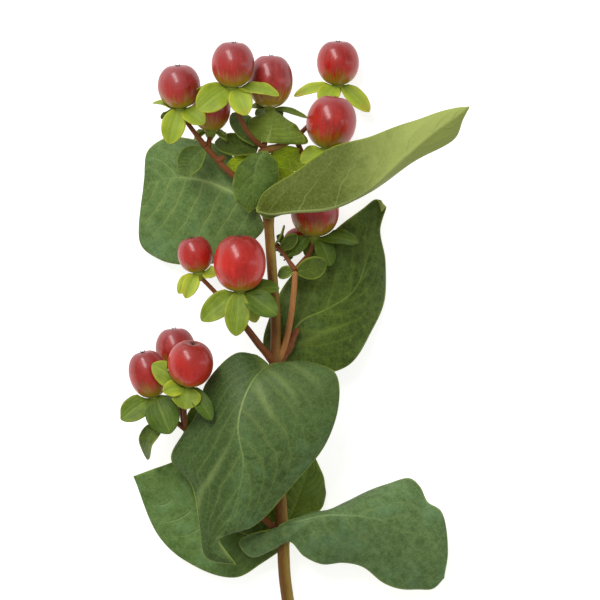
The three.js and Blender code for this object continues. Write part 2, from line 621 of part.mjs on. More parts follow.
// The whole branching stem, made thicker by grow where it cuts room for itself. The shoots
// and stalks run on by as much, so that their ends keep clear as well.
function stemSolid(grow) {
  const swelling = (centre) => STEM_NODES.reduce((sum, node) => {
    const away = centre.distanceTo(vec(node)) / NODE_LENGTH;
    return sum + NODE_SWELLING * Math.exp(-away * away);
  }, 1);
  const stemRadius = tapered(...STEM.radii);
  const radiusWithNodes = (t, centre) => stemRadius(t) * swelling(centre) + grow;
  const stem = rod(STEM.path.map(vec), radiusWithNodes, STEM_SIDES);
  const shoots = SHOOTS.map(({ radii, path }) => {
    const radiusAt = tapered(...radii);
    return rod(path.map(vec), (t) => radiusAt(t) + grow, STALK_SIDES, grow);
  });
  const stalks = BERRIES.map((berry) => {
    const radiusAt = tapered(STALK_RADIUS, STALK_TIP_RADIUS);
    const end = berryFoot(berry, RECEPTACLE_LENGTH + FIT_GAP);
    return rod([...berry.stalk.map(vec), end], (t) => radiusAt(t) + grow, STALK_SIDES, grow);
  });
  return [...shoots, ...stalks].reduce((solid, branch) => solid.add(branch), stem);
}

// What lies under the surface that the stem rests on is cut off flat
function floorBlock() {
  const box = new THREE.BoxGeometry(FLOOR_SIZE, FLOOR_SIZE, FLOOR_DEPTH);
  box.translate(0, 0, -FLOOR_DEPTH / 2);
  box.deleteAttribute('normal');
  box.deleteAttribute('uv');
  const welded = mergeVertices(box);
  return new wasm.Manifold(new wasm.Mesh({
    numProp: 3,
    vertProperties: welded.attributes.position.array,
    triVerts: new Uint32Array(welded.index.array),
  }));
}

const floor = floorBlock();
const stemRoom = stemSolid(FIT_GAP);
const group = new THREE.Group();
const place = (name, solid, material) => group.add(meshOf(name, solid.subtract(floor), material));

place('stem', stemSolid(0), STEM_BROWN);
for (const leaf of LEAVES) {
  const solid = leafSolid(leaf, LEAF_STEPS, LEAF_STEPS_ACROSS, LEAF_THICKNESS);
  place(leaf.name, solid.subtract(stemRoom), LEAF_GREEN);
}
for (const leaf of BROAD_SMALL_LEAVES) {
  const solid = leafSolid(leaf, SMALL_LEAF_STEPS, SMALL_LEAF_STEPS_ACROSS, SMALL_LEAF_THICKNESS);
  place(leaf.name, solid.subtract(stemRoom), YOUNG_GREEN);
}
for (const leaf of SMALL_LEAVES) {
  place(leaf.name, smallLeafSolid(leaf).subtract(stemRoom), YOUNG_GREEN);
}
for (const berry of BERRIES) {
  place(`berry_${berry.name}`, berrySolid(berry), BERRY_RED);
  place(`calyx_${berry.name}`, calyxSolid(berry, stemRoom), SEPAL_GREEN);
}

export default group;
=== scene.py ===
# A cut stem of hypericum with its leaves and ripe berries, lying on a pale surface.
# Metres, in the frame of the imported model: +Y runs from the cut end to the top, +Z is up.
# Sizes and points of the plant are in millimetres, and become metres where a mesh is made.
import math

import bpy
import numpy as np
from mathutils import Matrix, Vector


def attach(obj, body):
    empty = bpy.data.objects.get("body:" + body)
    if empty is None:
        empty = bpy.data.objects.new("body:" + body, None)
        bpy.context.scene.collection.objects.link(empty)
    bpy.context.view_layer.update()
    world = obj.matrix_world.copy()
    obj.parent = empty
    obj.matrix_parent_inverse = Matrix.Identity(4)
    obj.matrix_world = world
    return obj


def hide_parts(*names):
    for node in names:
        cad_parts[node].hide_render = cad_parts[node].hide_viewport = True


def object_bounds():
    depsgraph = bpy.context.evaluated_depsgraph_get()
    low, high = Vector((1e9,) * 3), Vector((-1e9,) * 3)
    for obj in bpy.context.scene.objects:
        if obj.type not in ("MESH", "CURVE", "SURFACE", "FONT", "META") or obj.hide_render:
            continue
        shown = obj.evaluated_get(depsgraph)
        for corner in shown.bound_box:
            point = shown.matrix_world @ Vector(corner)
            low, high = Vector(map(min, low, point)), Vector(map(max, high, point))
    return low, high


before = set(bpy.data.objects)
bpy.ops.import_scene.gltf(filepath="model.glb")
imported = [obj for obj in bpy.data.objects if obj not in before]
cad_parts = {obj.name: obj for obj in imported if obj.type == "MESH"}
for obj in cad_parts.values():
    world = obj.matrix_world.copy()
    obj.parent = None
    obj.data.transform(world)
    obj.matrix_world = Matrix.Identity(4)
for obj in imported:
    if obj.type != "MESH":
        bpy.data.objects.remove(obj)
cad_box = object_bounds()


# ---------------------------------------------------------------------------------------
# The berries: firm oval fruits with three faint lobes and three withered styles on a sunken
# top. The skin is glossy red over an olive base, with a mauve bloom and painted shade near
# the top. Each grows in a calyx at the end of its stalk, and one node tree makes them all.
MM = 0.001

# Of each berry the middle, width, height, the way its top points, and how ripe it is.
BERRIES = {
    name: dict(at=at, width=width, height=height, up=up, ripeness=ripeness)
    for name, at, width, height, up, ripeness in [
        ("top_left", (-32, 78, 24), 12, 12.4, (-0.06, 0.99, 0.13), 0.05),
        ("top_front", (-16.9, 84, 30), 12, 13, (0.04, 0.99, 0.11), 0.15),
        ("top_low", (-23, 72, 19), 10.8, 13, (0.04, 1, 0.04), 0.1),
        ("top_middle", (-6.5, 79.5, 21), 12.6, 15, (0.04, 1, 0.06), 0.05),
        ("top_right", (12.5, 85, 6), 11.9, 12.7, (0, 0.99, 0.11), 0.45),
        ("top_large", (10.6, 68, 17), 14, 15.2, (0.17, 0.99, 0), 0.45),
        ("middle_right", (6, 43, 12), 13.6, 14, (0.04, 1, 0.06), 0.3),
        ("middle_front", (-15, 28.5, 29), 14.6, 16, (0, 1, 0.09), 1),
        ("middle_left", (-27.5, 31, 23), 9.8, 10.4, (-0.21, 0.98, 0.08), 0.6),
        ("low_left", (-40.7, -2.5, 15), 10.9, 13.6, (-0.25, 0.96, 0.13), 0.35),
        ("low_front", (-28.8, 0.4, 23.5), 12.8, 13, (0.11, 0.95, 0.3), 0.9),
        ("low_back", (-33.2, 4.5, 8), 11.2, 12.2, (-0.07, 1, 0.05), 0.1),
        ("middle_small", (1, 35, 4.6), 7, 7.4, (0.88, 0.47, -0.12), 0.5),
    ]
}
BERRY_FULLNESS = 0.85
BERRY_SEED_STEP = 3.7
MERGE_DISTANCE = 1e-5
STYLE_COUNT = 3
STYLE_SIDES = 6


class Wire:
    """The output of a node, so that sums on it are written as plain arithmetic."""

    def __init__(self, tree, socket=None):
        self.tree, self.socket = tree, socket

    def node(self, kind, inputs=None, settings=None, output=0):
        made = self.tree.nodes.new(kind)
        for name, value in (settings or {}).items():
            setattr(made, name, value)
        for name, value in (inputs or {}).items():
            if isinstance(value, Wire):
                self.tree.links.new(value.socket, made.inputs[name])
            else:
                made.inputs[name].default_value = value
        return Wire(self.tree, made.outputs[output]) if made.outputs else None

    def math(self, operation, *others):
        """This number with the others through one Math node."""
        values = others if self.socket is None else (self, *others)
        return self.node("ShaderNodeMath", dict(enumerate(values)), {"operation": operation})

    def __add__(self, other):
        return self.math("ADD", other)

    def __sub__(self, other):
        return self.math("SUBTRACT", other)

    def __rsub__(self, other):
        return Wire(self.tree).math("SUBTRACT", other, self)

    def __mul__(self, other):
        return self.math("MULTIPLY", other)

    def __truediv__(self, other):
        return self.math("DIVIDE", other)

    def __pow__(self, other):
        return self.math("POWER", other)

    __radd__ = __add__

    def between(self, low, high):
        """0 below low, 1 above high, and smooth between them."""
        return self.node("ShaderNodeMapRange", {"Value": self, "From Min": low, "From Max": high},
                         {"interpolation_type": "SMOOTHSTEP"})

    def blend(self, first, second):
        """From the first colour to the second as this goes from 0 to 1."""
        colours = {6: first, 7: second}
        for place, colour in colours.items():
            if not isinstance(colour, Wire):
                colours[place] = (*colour, 1)
        return self.node("ShaderNodeMix", {0: self, **colours}, {"data_type": "RGBA"}, 2)

    def part(self, number):
        """One of the three numbers of this vector."""
        return self.node("ShaderNodeSeparateXYZ", {0: self}, output=number)

    def vector(self, **parts):
        return self.node("ShaderNodeCombineXYZ", parts)

    def vector_math(self, operation, **inputs):
        """This vector with others, or with a scale, through one Vector Math node."""
        sockets = {"first": 1, "second": 2, "scale": "Scale"}
        others = {sockets[name]: value for name, value in inputs.items()}
        return self.node("ShaderNodeVectorMath", {0: self, **others}, {"operation": operation})

    def clouds(self, scale, detail=2.0, roughness=0.5, output=0):
        """Noise over this vector, from 0 to 1. Output 1 is a vector of three such noises."""
        inputs = {"Vector": self, "Scale": scale, "Detail": detail, "Roughness": roughness}
        return self.node("ShaderNodeTexNoise", inputs, output=output)

    def noise(self, size, detail=3.0, roughness=0.55):
        """Clouds of about the given size in millimetres over this place."""
        return self.clouds(1 / (size * MM), detail, roughness)

    def place(self):
        """Where a material's point is on its piece."""
        return self.node("ShaderNodeTexCoord", output=3)

    def stored(self, *names, output=2):
        """Numbers that are stored with a piece, in a material. Output 1 gives vectors."""
        return [self.node("ShaderNodeAttribute", None, {"attribute_name": name}, output) for name in names]


def paint(red, green, blue):
    """A colour given in screen values, 0 to 255, as amounts of light."""
    return tuple(((value / 255 + 0.055) / 1.055) ** 2.4 for value in (red, green, blue))


def new_material(name):
    material = bpy.data.materials.new(name)
    material.use_nodes = True
    material.node_tree.nodes.clear()
    return material, Wire(material.node_tree)


def surface(wire, inputs, height=None, depth=0.1):
    """The shader of a finish, with a relief of so many millimetres where a height is given."""
    if height is not None:
        bump = wire.node("ShaderNodeBump", {"Strength": 1.0, "Distance": depth * MM, "Height": height})
        inputs = {**inputs, "Normal": bump}
    wire.node("ShaderNodeOutputMaterial", {"Surface": wire.node("ShaderNodeBsdfPrincipled", inputs)})


def berry_skin():
    material, wire = new_material("berry_skin")
    seed, ripe = wire.stored("seed", "ripeness")
    uv = wire.node("ShaderNodeUVMap", None, {"uv_map": "UVMap"})
    turn, rise = uv.part(0) * (2 * math.pi), uv.part(1)
    round_about = wire.vector(X=turn.math("COSINE"), Y=turn.math("SINE"), Z=rise * 0.3 + seed)
    streaks = round_about.clouds(9.0, 4.0, 0.62)
    broad = round_about.clouds(1.5)
    blotch = wire.place().noise(3.2, 2.0)
    specks = wire.place().noise(0.5, 2.0)
    tone = (streaks * 0.55 + broad * 0.7 + blotch * 0.55 - 0.4).between(0.2, 0.8)
    red = tone.blend(paint(108, 14, 8), paint(172, 38, 26))
    red = ripe.blend(red, tone.blend(paint(150, 14, 6), paint(206, 36, 20)))
    # Towards the top a mauve bloom, and painted shade that darkens the tops, most on the ripe berries.
    top_bloom_and_shade = (rise + (broad - 0.5) * 0.5 + (blotch - 0.5) * 0.35).between(0.42, 0.95)
    bloom_and_shade_colour = ripe.blend(paint(122, 60, 66), paint(78, 16, 10))
    skin = (top_bloom_and_shade * (0.8 - ripe * 0.15)).blend(red, bloom_and_shade_colour)
    greening = rise + ripe * 0.12 + (streaks - 0.5) * 0.45 + (broad - 0.5) * 0.3
    unripe = (1 - greening.between(0.2, 0.5)) * (0.95 - ripe * 0.3)
    skin = unripe.blend(skin, blotch.blend(paint(166, 124, 22), paint(146, 138, 30)))
    foot = 1 - rise.between(0.08, 0.24)
    skin = (foot * 0.8).blend(skin, paint(144, 148, 30))
    pit = rise.between(0.925, 0.985)
    skin = (pit * 0.75).blend(skin, paint(84, 40, 30))
    skin = ((specks - 0.6).between(0, 0.1) * 0.14).blend(skin, paint(206, 130, 116))
    surface(wire, {
        "Base Color": skin,
        "Roughness": 0.32 + top_bloom_and_shade * 0.16 + specks * 0.06,
        "Specular IOR Level": 0.24,
        "Coat Weight": 0.21,
        "Coat IOR": 1.9,
        "Coat Roughness": 0.17,
        "Sheen Weight": 0.08,
        "Sheen Roughness": 0.35,
        "Sheen Tint": (0.95, 0.72, 0.8, 1),
        "Subsurface Weight": 0.06,
        "Subsurface Radius": (0.9 * MM, 0.3 * MM, 0.2 * MM),
        "Subsurface Scale": 1.0,
    }, streaks * 0.6 + specks * 0.4, 0.03)
    return material


def style_bark():
    material, wire = new_material("withered_style")
    grain = wire.place().noise(0.25)
    brown = grain.blend((0.035, 0.018, 0.010), (0.10, 0.055, 0.03))
    surface(wire, {"Base Color": brown, "Roughness": 0.75}, grain, 0.03)
    return material


def new_tree(name, sizes):
    """A node tree whose inputs are the given sizes, and its start."""
    tree = bpy.data.node_groups.new(name, "GeometryNodeTree")
    kinds = {float: "NodeSocketFloat", int: "NodeSocketInt", bpy.types.Material: "NodeSocketMaterial"}
    tree.interface.new_socket("Geometry", in_out="INPUT", socket_type="NodeSocketGeometry")
    for label, value in sizes.items():
        tree.interface.new_socket(label, in_out="INPUT", socket_type=kinds[type(value)])
    tree.interface.new_socket("Geometry", in_out="OUTPUT", socket_type="NodeSocketGeometry")
    entry = tree.nodes.new("NodeGroupInput")
    return tree, {socket.name: Wire(tree, socket) for socket in entry.outputs if socket.name}


def tree_mesh(tree, sizes, start):
    """The plain mesh that a tree makes from a starting mesh and its sizes."""
    piece = bpy.data.objects.new("grower", start)
    bpy.context.scene.collection.objects.link(piece)
    grower = piece.modifiers.new("grow", "NODES")
    grower.node_group = tree
    for socket in tree.interface.items_tree:
        if socket.in_out == "INPUT" and socket.name in sizes:
            grower[socket.identifier] = sizes[socket.name]
    graph = bpy.context.evaluated_depsgraph_get()
    made = bpy.data.meshes.new_from_object(piece.evaluated_get(graph), depsgraph=graph)
    bpy.data.objects.remove(piece)
    return made


def show(mesh, node):
    """Puts a finished mesh in the scene, where it stands for a node of the frame."""
    mesh.name = f"fine_{node}"
    piece = bpy.data.objects.new(mesh.name, mesh)
    bpy.context.scene.collection.objects.link(piece)
    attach(piece, "root")
    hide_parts(node)


def berry_tree(sizes):
    tree, given = new_tree("berry", sizes)
    wire = Wire(tree)
    grid = wire.node("GeometryNodeMeshGrid", {
        "Size X": 1.0, "Size Y": 1.0, "Vertices X": given["Around"] + 1, "Vertices Y": given["Rings"] + 1})
    grid_uv = Wire(tree, grid.socket.node.outputs["UV Map"])
    body = wire.node("GeometryNodeStoreNamedAttribute",
                     {"Geometry": grid, "Name": "UVMap", "Value": grid_uv},
                     {"data_type": "FLOAT2", "domain": "CORNER"})
    place = wire.node("GeometryNodeInputPosition")
    turn = (place.part(0) + 0.5) * (2 * math.pi)
    polar = (place.part(1) + 0.5) * math.pi
    lobed = 1 + given["Lobe"] * (turn * 3).math("COSINE")
    sine = polar.math("SINE").math("MAXIMUM", 0.0)
    radius = given["Width"] * 0.5 * sine ** given["Fullness"] * lobed
    near_axis = (0 - (radius / given["Dimple reach"]) ** 2).math("EXPONENT")
    sunken = given["Dimple"] * near_axis * polar.math("GREATER_THAN", math.pi / 2)
    height = 0 - given["Height"] * 0.5 * polar.math("COSINE") - sunken
    spot = wire.vector(X=radius * turn.math("COSINE"), Y=radius * turn.math("SINE"), Z=height)
    body = wire.node("GeometryNodeSetPosition", {"Geometry": body, "Position": spot})
    body = wire.node("GeometryNodeMergeByDistance", {"Geometry": body, "Distance": MERGE_DISTANCE})

    # The three styles stand in the dimple and lean outwards.
    length = given["Style length"]
    bend = wire.node("GeometryNodeCurveQuadraticBezier", {
        "Resolution": STYLE_SIDES, "Start": (0, 0, 0),
        "Middle": wire.vector(X=length * 0.1, Z=length * 0.6),
        "End": wire.vector(X=length * 0.5, Z=length)})
    way = wire.node("GeometryNodeSplineParameter")
    section = wire.node("GeometryNodeCurvePrimitiveCircle", {
        "Resolution": STYLE_SIDES, "Radius": given["Style radius"]})
    prong = wire.node("GeometryNodeCurveToMesh", {
        "Curve": bend, "Profile Curve": section, "Scale": 1 - way * 0.5, "Fill Caps": True})
    ring = wire.node("GeometryNodeMeshCircle", {"Vertices": STYLE_COUNT, "Radius": length * 0.25})
    lean = wire.vector(Z=wire.node("GeometryNodeInputIndex") * (2 * math.pi / STYLE_COUNT))
    styles = wire.node("GeometryNodeInstanceOnPoints", {"Points": ring, "Instance": prong, "Rotation": lean})
    lift = given["Height"] * 0.5 - given["Dimple"] - length * 0.15
    styles = wire.node("GeometryNodeSetPosition", {
        "Geometry": wire.node("GeometryNodeRealizeInstances", {"Geometry": styles}),
        "Offset": wire.vector(Z=lift)})
    styles = wire.node("GeometryNodeStoreNamedAttribute",
                       {"Geometry": styles, "Name": "is_style", "Value": True},
                       {"data_type": "BOOLEAN", "domain": "FACE"})

    whole = wire.node("GeometryNodeJoinGeometry")
    for shape in (styles, body):
        tree.links.new(shape.socket, whole.socket.node.inputs[0])
    whole = wire.node("GeometryNodeSetShadeSmooth", {"Geometry": whole})
    whole = wire.node("GeometryNodeRealizeInstances", {"Geometry": whole})
    is_style = wire.node("GeometryNodeInputNamedAttribute", {"Name": "is_style"}, {"data_type": "BOOLEAN"})
    whole = wire.node("GeometryNodeSetMaterial", {"Geometry": whole, "Material": given["Skin"]})
    whole = wire.node("GeometryNodeSetMaterial", {
        "Geometry": whole, "Selection": is_style, "Material": given["Style bark"]})
    wire.node("NodeGroupOutput", {"Geometry": whole})
    return tree


def give(mesh, values):
    """Stores one number for each point of a mesh, or the same one for all, under each name."""
    for name, value in values.items():
        numbers = np.full(len(mesh.vertices), value) if np.isscalar(value) else value
        layer = mesh.attributes.new(name, "FLOAT", "POINT")
        layer.data.foreach_set("value", np.asarray(numbers, np.float32))


def berry_axes(berry):
    """The berry's own axis, the level direction across it, and the one to its front."""
    axis = np.array(berry["up"], float)
    axis /= np.linalg.norm(axis)
    lies_across = abs(axis[0]) > 0.7
    level = np.array((0.0, 0, 1) if lies_across else (1.0, 0, 0))
    level -= level.dot(axis) * axis
    level /= np.linalg.norm(level)
    return axis, level, np.cross(level, axis)


berry_rule = {
    "Width": 1.0, "Height": 1.0, "Lobe": 0.016, "Fullness": BERRY_FULLNESS,
    "Dimple": 0.9 * MM, "Dimple reach": 1.7 * MM, "Style length": 0.95 * MM, "Style radius": 0.2 * MM,
    "Around": 60, "Rings": 44, "Skin": berry_skin(), "Style bark": style_bark(),
}
grown_berry = berry_tree(berry_rule)
for order, (name, berry) in enumerate(BERRIES.items()):
    own = {**berry_rule, "Width": berry["width"] * MM, "Height": berry["height"] * MM}
    mesh = tree_mesh(grown_berry, own, bpy.data.meshes.new("start"))
    axis, level, front = berry_axes(berry)
    turned = Matrix(np.column_stack([front, level, axis]).tolist()).to_4x4()
    mesh.transform(Matrix.Translation(Vector(berry["at"]) * MM) @ turned)
    give(mesh, {"seed": order * BERRY_SEED_STEP, "ripeness": berry["ripeness"]})
    show(mesh, f"berry_{name}")


# ---------------------------------------------------------------------------------------
# The calyxes: under each berry a small cup widens from its stalk and carries five soft
# green sepals with yellow edges. The sepals that stand apart are placed one by one, and the
# rest of the five spread by rule behind.

# Sepals: reach right, up and forward, width, how far each faces forward in degrees, and how
# dark it is, from 0 to 1, partly its own deeper green and partly painted shade, as behind a
# berry or under a leaf. Rear ones: length, middle turn in degrees, and that darkness.
CALYXES = {
    "top_left": dict(rear=(6.5, 240, 0.5), sepals=[
        (-7.9, 2.6, -1, 4.4, 10, 0.3), (-3.2, -8.8, 3, 6.8, 90, 0.16), (6.6, -3.2, 5, 6, 65, 0.24)]),
    "top_front": dict(rear=(7, 270, 0.5), sepals=[
        (-9.6, -5.2, 3.5, 8.4, 75, 0.32), (4.2, -6.8, 4, 6.6, 80, 0.08), (13.2, -1.2, 2, 6, 30, 0.34),
        (-10, 1, -1.5, 4.6, 5, 0.5)]),
    "top_low": dict(rear=(4.5, 270, 0.6), sepals=[
        (5, -1.6, -1.5, 4.2, 30, 0.5), (-4.6, -1.4, -1.5, 4.2, 30, 0.5)]),
    "top_middle": dict(rear=(6, 270, 0.7), sepals=[
        (10.6, -1.9, -2.4, 2.6, 40, 0.75), (4.8, -3.6, -4.6, 4.4, 20, 0.8), (-5.2, 1.6, -1.2, 4, 30, 0.6)]),
    "top_right": dict(rear=(7, 270, 0.4), sepals=[
        (-12.4, -1.9, 1, 4.2, 42, 0.02), (-4.6, -4.6, 6, 6.4, 55, 0.1), (8.8, -6.5, 2.5, 5.2, 60, 0.12)]),
    "top_large": dict(rear=(6, 270, 0.5), sepals=[
        (-7, -2.6, 2.5, 5.2, 50, 0.0), (7, -3, 3.5, 5.4, 30, 0.2)]),
    "middle_right": dict(rear=(4.6, 290, 0.95), sepals=[
        (12.6, -1, 2.5, 6.2, 40, 0.95), (-7.2, -4.4, 0.5, 5, 50, 0.9), (4.9, -7, 1.2, 5.6, 60, 0.9),
        (-0.6, -5.6, -1.6, 5.2, 55, 0.8)]),
    "middle_front": dict(rear=(7, 270, 0.6), sepals=[
        (-10.7, -6.8, 2.5, 7, 80, 0.5), (-1.1, -11.2, 3, 7.2, 90, 0.5), (10.4, -5.6, 3, 7.4, 70, 0.9),
        (11, 2, -2.5, 6.6, 40, 0.85), (4.6, -7.4, -1.5, 5.4, 50, 0.3)]),
    "middle_left": dict(rear=(5, 270, 0.3), sepals=[
        (-6, -4.8, 1.5, 4.4, 60, -0.1), (-4, -6, 3.4, 4.6, 80, -0.15), (4.6, 0.6, 2.8, 4.2, 60, 0)]),
    "low_left": dict(rear=(6, 270, 0.8), sepals=[
        (-9.7, -5.2, 1.5, 7.2, 75, 0.72), (4.2, -9.2, 4, 9.6, 90, 0.98)]),
    "low_front": dict(rear=(5, 250, 0.6), sepals=[
        (-9.8, 7.2, 1.5, 7, 85, 0.38), (-0.8, -5.4, 3.5, 8.4, 80, 0.45), (6.8, -8.6, 3.4, 5, 70, 1.15),
        (-7, -0.6, 3.6, 5, 75, 0.1)]),
    "low_back": dict(rear=(6, 270, 0.8), sepals=[(-4.6, -3.6, 1.2, 5, 40, 0.7), (5.4, -3, 2, 5, 40, 0.7)]),
    "middle_small": dict(rear=(3.6, 270, 0.9), sepals=[
        (-1.4, 3.6, 1.4, 3.2, 50, 0.9), (1.6, -3.4, 1.8, 3.2, 50, 0.9)]),
}
SEPAL_COUNT = 5
SEPAL_WIDTH_TO_LENGTH = 0.65
SEPAL_ARCH = 0.07
SEPAL_CUP = 0.2
SEPAL_CURL = 0.05
SEPAL_RIPPLE = 0.03
SEPAL_ROOT = 1.3
SEPAL_DROP = 0.15
SEPAL_THICKNESS = 0.42
SEPAL_EDGE_SHARE = 0.4
SEPAL_TIP_THINNING = 0.4
SEPAL_GROOVE = 0.09
SEPAL_GROOVE_WIDTH = 0.9
SEPAL_GAP = 0.3
SEPAL_GRID = (22, 13)
CALYX_SEED_STEP = 1.7
REAR_SEED = 0.6
REAR_SPACING = 65
REAR_DROOP = 0.3
BLADE_BASE = 0.36
BLADE_BELLY = 0.45
BLADE_POINT = (2.2, 0.62)
BLADE_LEAST_WIDTH = 0.05
SKIN_STEPS = 5
SKIN_STEP_POWER = -0.46
CUP_LENGTH = 2.4
CUP_SIDES = 20
# The cup from below: how far each ring is under the berry's foot, and its radius.
CUP_PROFILE = [
    (2.5, 0.02), (2.48, 0.72), (2.0, 0.86), (1.4, 1.1), (0.9, 1.4), (0.4, 1.7), (0, 1.75),
    (-0.4, 1.5), (-0.6, 0.02),
]


def sepal_skin():
    material, wire = new_material("sepal_skin")
    along, across, seed, below, dark, margin = wire.stored(
        "along", "across", "seed", "under", "dark", "margin")
    share = across.math("ABSOLUTE")
    place = wire.place()
    cloud = place.noise(3.0, 3.0)
    grain = place.noise(0.8, 4.0, 0.65)
    # Each sepal's darkness is partly its own deeper green and partly painted shade, as behind a berry or
    # under a leaf; it grows a little on the lower faces.
    dark = dark + (cloud - 0.5) * 0.7 + (grain - 0.5) * 0.3 + below * 0.15
    wander = (place.noise(2.2, 2.0) - 0.5) * 1.1
    lines = ((across * 3.2 + wander + seed).math("FRACT") - 0.5).math("ABSOLUTE")
    vein = (1 - lines.between(0.03, 0.2)) * (1 - share.between(0.55, 0.9))
    middle_vein = 1 - share.between(0.03, 0.13)
    light = grain.blend(paint(150, 168, 36), paint(182, 194, 56))
    shade = grain.blend(paint(48, 70, 12), paint(82, 106, 24))
    skin = dark.between(-0.35, 1.05).blend(light, shade)
    heart = (1 - (share + (cloud - 0.5) * 0.7).between(0.2, 0.85)) * (0.42 - dark * 0.28)
    skin = heart.blend(skin, grain.blend(paint(82, 112, 30), paint(110, 140, 50)))
    rim = (1 - margin.between(0.1, 0.95)) * (0.25 + cloud * 0.75)
    skin = (rim * (0.85 - dark * 0.9)).blend(skin, paint(172, 172, 52))
    ripe = (along + (cloud - 0.5) * 1.4 + (seed.math("FRACT") - 0.6) * 0.6).between(0.82, 1.25)
    skin = (ripe * 0.7 * (1 - dark * 2.4)).blend(skin, paint(188, 150, 50))
    skin = ((vein * 0.13 + middle_vein * 0.22) * (1.1 - dark * 0.5)).blend(skin, paint(164, 178, 80))
    foot = 1 - along.between(0.0, 0.2)
    skin = (foot * 0.35).blend(skin, paint(140, 148, 54))
    surface(wire, {
        "Base Color": skin,
        "Roughness": 0.44 + grain * 0.14,
        "Specular IOR Level": 0.2,
        "Subsurface Weight": 0.08,
        "Subsurface Radius": (0.5 * MM, 0.8 * MM, 0.2 * MM),
        "Subsurface Scale": 1.0,
    }, grain * 0.5 + cloud * 0.4 - vein * 0.35 - middle_vein * 0.5, 0.08)
    return material


def unit(vectors):
    vectors = np.asarray(vectors, float)
    return vectors / np.linalg.norm(vectors, axis=-1, keepdims=True)


def hump(away, reach):
    """1 at no distance, falling smoothly to nothing past the reach."""
    return np.exp(-(away / reach) ** 2)


def blade_outline(way):
    """Half width of a small blade along its length: a waisted base, a belly, a rounded point."""
    rising = BLADE_BASE + (1 - BLADE_BASE) * np.sin(math.pi / 2 * np.minimum(way / BLADE_BELLY, 1))
    past = np.clip((way - BLADE_BELLY) / (1 - BLADE_BELLY), 0, 1)
    outer, inner = BLADE_POINT
    return np.where(way < BLADE_BELLY, rising, (1 - past ** outer) ** inner)


def blade(start, end, width, face, arch, cup, grid, curl, ripple, seed):
    """The middle surface of a small blade that arches towards the side it faces, and its looks."""
    start, chord = np.asarray(start, float), np.subtract(end, start)
    side = unit(np.cross(chord, face))
    outward = unit(np.cross(side, chord))
    along = np.sin(math.pi / 2 * np.linspace(0, 1, grid[0]))[:, None] * np.ones(grid[1])
    across = np.linspace(-1, 1, grid[1]) * np.ones((grid[0], 1))
    half = width / 2 * np.maximum(blade_outline(along), BLADE_LEAST_WIDTH)
    wave = np.sin(9 * along + 2.1 * seed) + 0.7 * np.sin(17 * along + 1.3 * seed + 2 * np.sign(across))
    rise = arch * np.sin(math.pi * along) + cup * half * across ** 2
    rise += curl * along ** 3 + ripple * wave * across ** 2 * np.sin(math.pi * along)
    middle = start + chord * along[..., None] + side * (half * across)[..., None]
    middle = middle + outward * rise[..., None]
    return middle, dict(along=along, across=across, margin=half * (1 - np.abs(across)))


def thin_blade(middle, upper, lower, looks):
    """The closed skin of a thin blade. Its upper face lies so far above the middle surface, and
    its lower face so far below it."""
    normal = unit(np.cross(np.gradient(middle, axis=1), np.gradient(middle, axis=0)))
    faces = [middle + normal * upper[..., None], middle - normal * lower[..., None]]
    index = np.arange(middle.shape[0] * middle.shape[1]).reshape(middle.shape[:2])
    count = index.size
    corners = index[:-1, :-1], index[:-1, 1:], index[1:, 1:], index[1:, :-1]
    upper_quads = np.stack(corners, -1).reshape(-1, 4)
    lower_quads = np.stack([corners[0], *corners[:0:-1]], -1).reshape(-1, 4) + count
    quads = [upper_quads, lower_quads]
    edges = (
        (index[0, 1:], index[0, :-1]), (index[-1, :-1], index[-1, 1:]),
        (index[:-1, 0], index[1:, 0]), (index[1:, -1], index[:-1, -1]),
    )
    for one, two in edges:
        quads.append(np.stack([one, two, two + count, one + count], -1))
    doubled = {"under": np.repeat([0.0, 1.0], count)}
    for name, value in looks.items():
        doubled[name] = np.tile(np.broadcast_to(value, index.shape).ravel(), 2)
    points = np.concatenate(faces).reshape(-1, 3)
    return dict(points=points, faces=np.concatenate(quads).tolist(), looks=doubled)


def joined_mesh(parts, material):
    """One smooth mesh of several parts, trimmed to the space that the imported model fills."""
    points, faces, start = [], [], 0
    for part in parts:
        points.append(part["points"])
        faces += [[corner + start for corner in face] for face in part["faces"]]
        start += len(part["points"])
    points = np.clip(np.concatenate(points), np.array(cad_box[0]) / MM, np.array(cad_box[1]) / MM)
    mesh = bpy.data.meshes.new("joined")
    mesh.from_pydata((points * MM).tolist(), [], faces)
    mesh.materials.append(material)
    mesh.shade_smooth()
    give(mesh, {name: np.concatenate([part["looks"][name] for part in parts]) for name in parts[0]["looks"]})
    return mesh


def kept_off_berry(points, berry, gap):
    """Points that would be inside a berry are moved out to its skin in a few steps."""
    axis, level, front = berry_axes(berry)
    own_axes = np.array([front, level, axis])
    local = (points - np.array(berry["at"])) @ own_axes.T
    half = np.array([berry["width"] / 2 + gap] * 2 + [berry["height"] / 2 + gap])
    scale = np.ones(points.shape[:-1])
    for _ in range(SKIN_STEPS):
        share = local * scale[..., None] / half
        fill = np.hypot(share[..., 0], share[..., 1]) ** (2 / BERRY_FULLNESS) + share[..., 2] ** 2
        scale = np.where((scale > 1) | (fill < 1), scale * np.maximum(fill, 0.05) ** SKIN_STEP_POWER, scale)
    return (local * scale[..., None]) @ own_axes + np.array(berry["at"])


def berry_foot(berry, below):
    return np.array(berry["at"]) - berry_axes(berry)[0] * (berry["height"] / 2 + below)


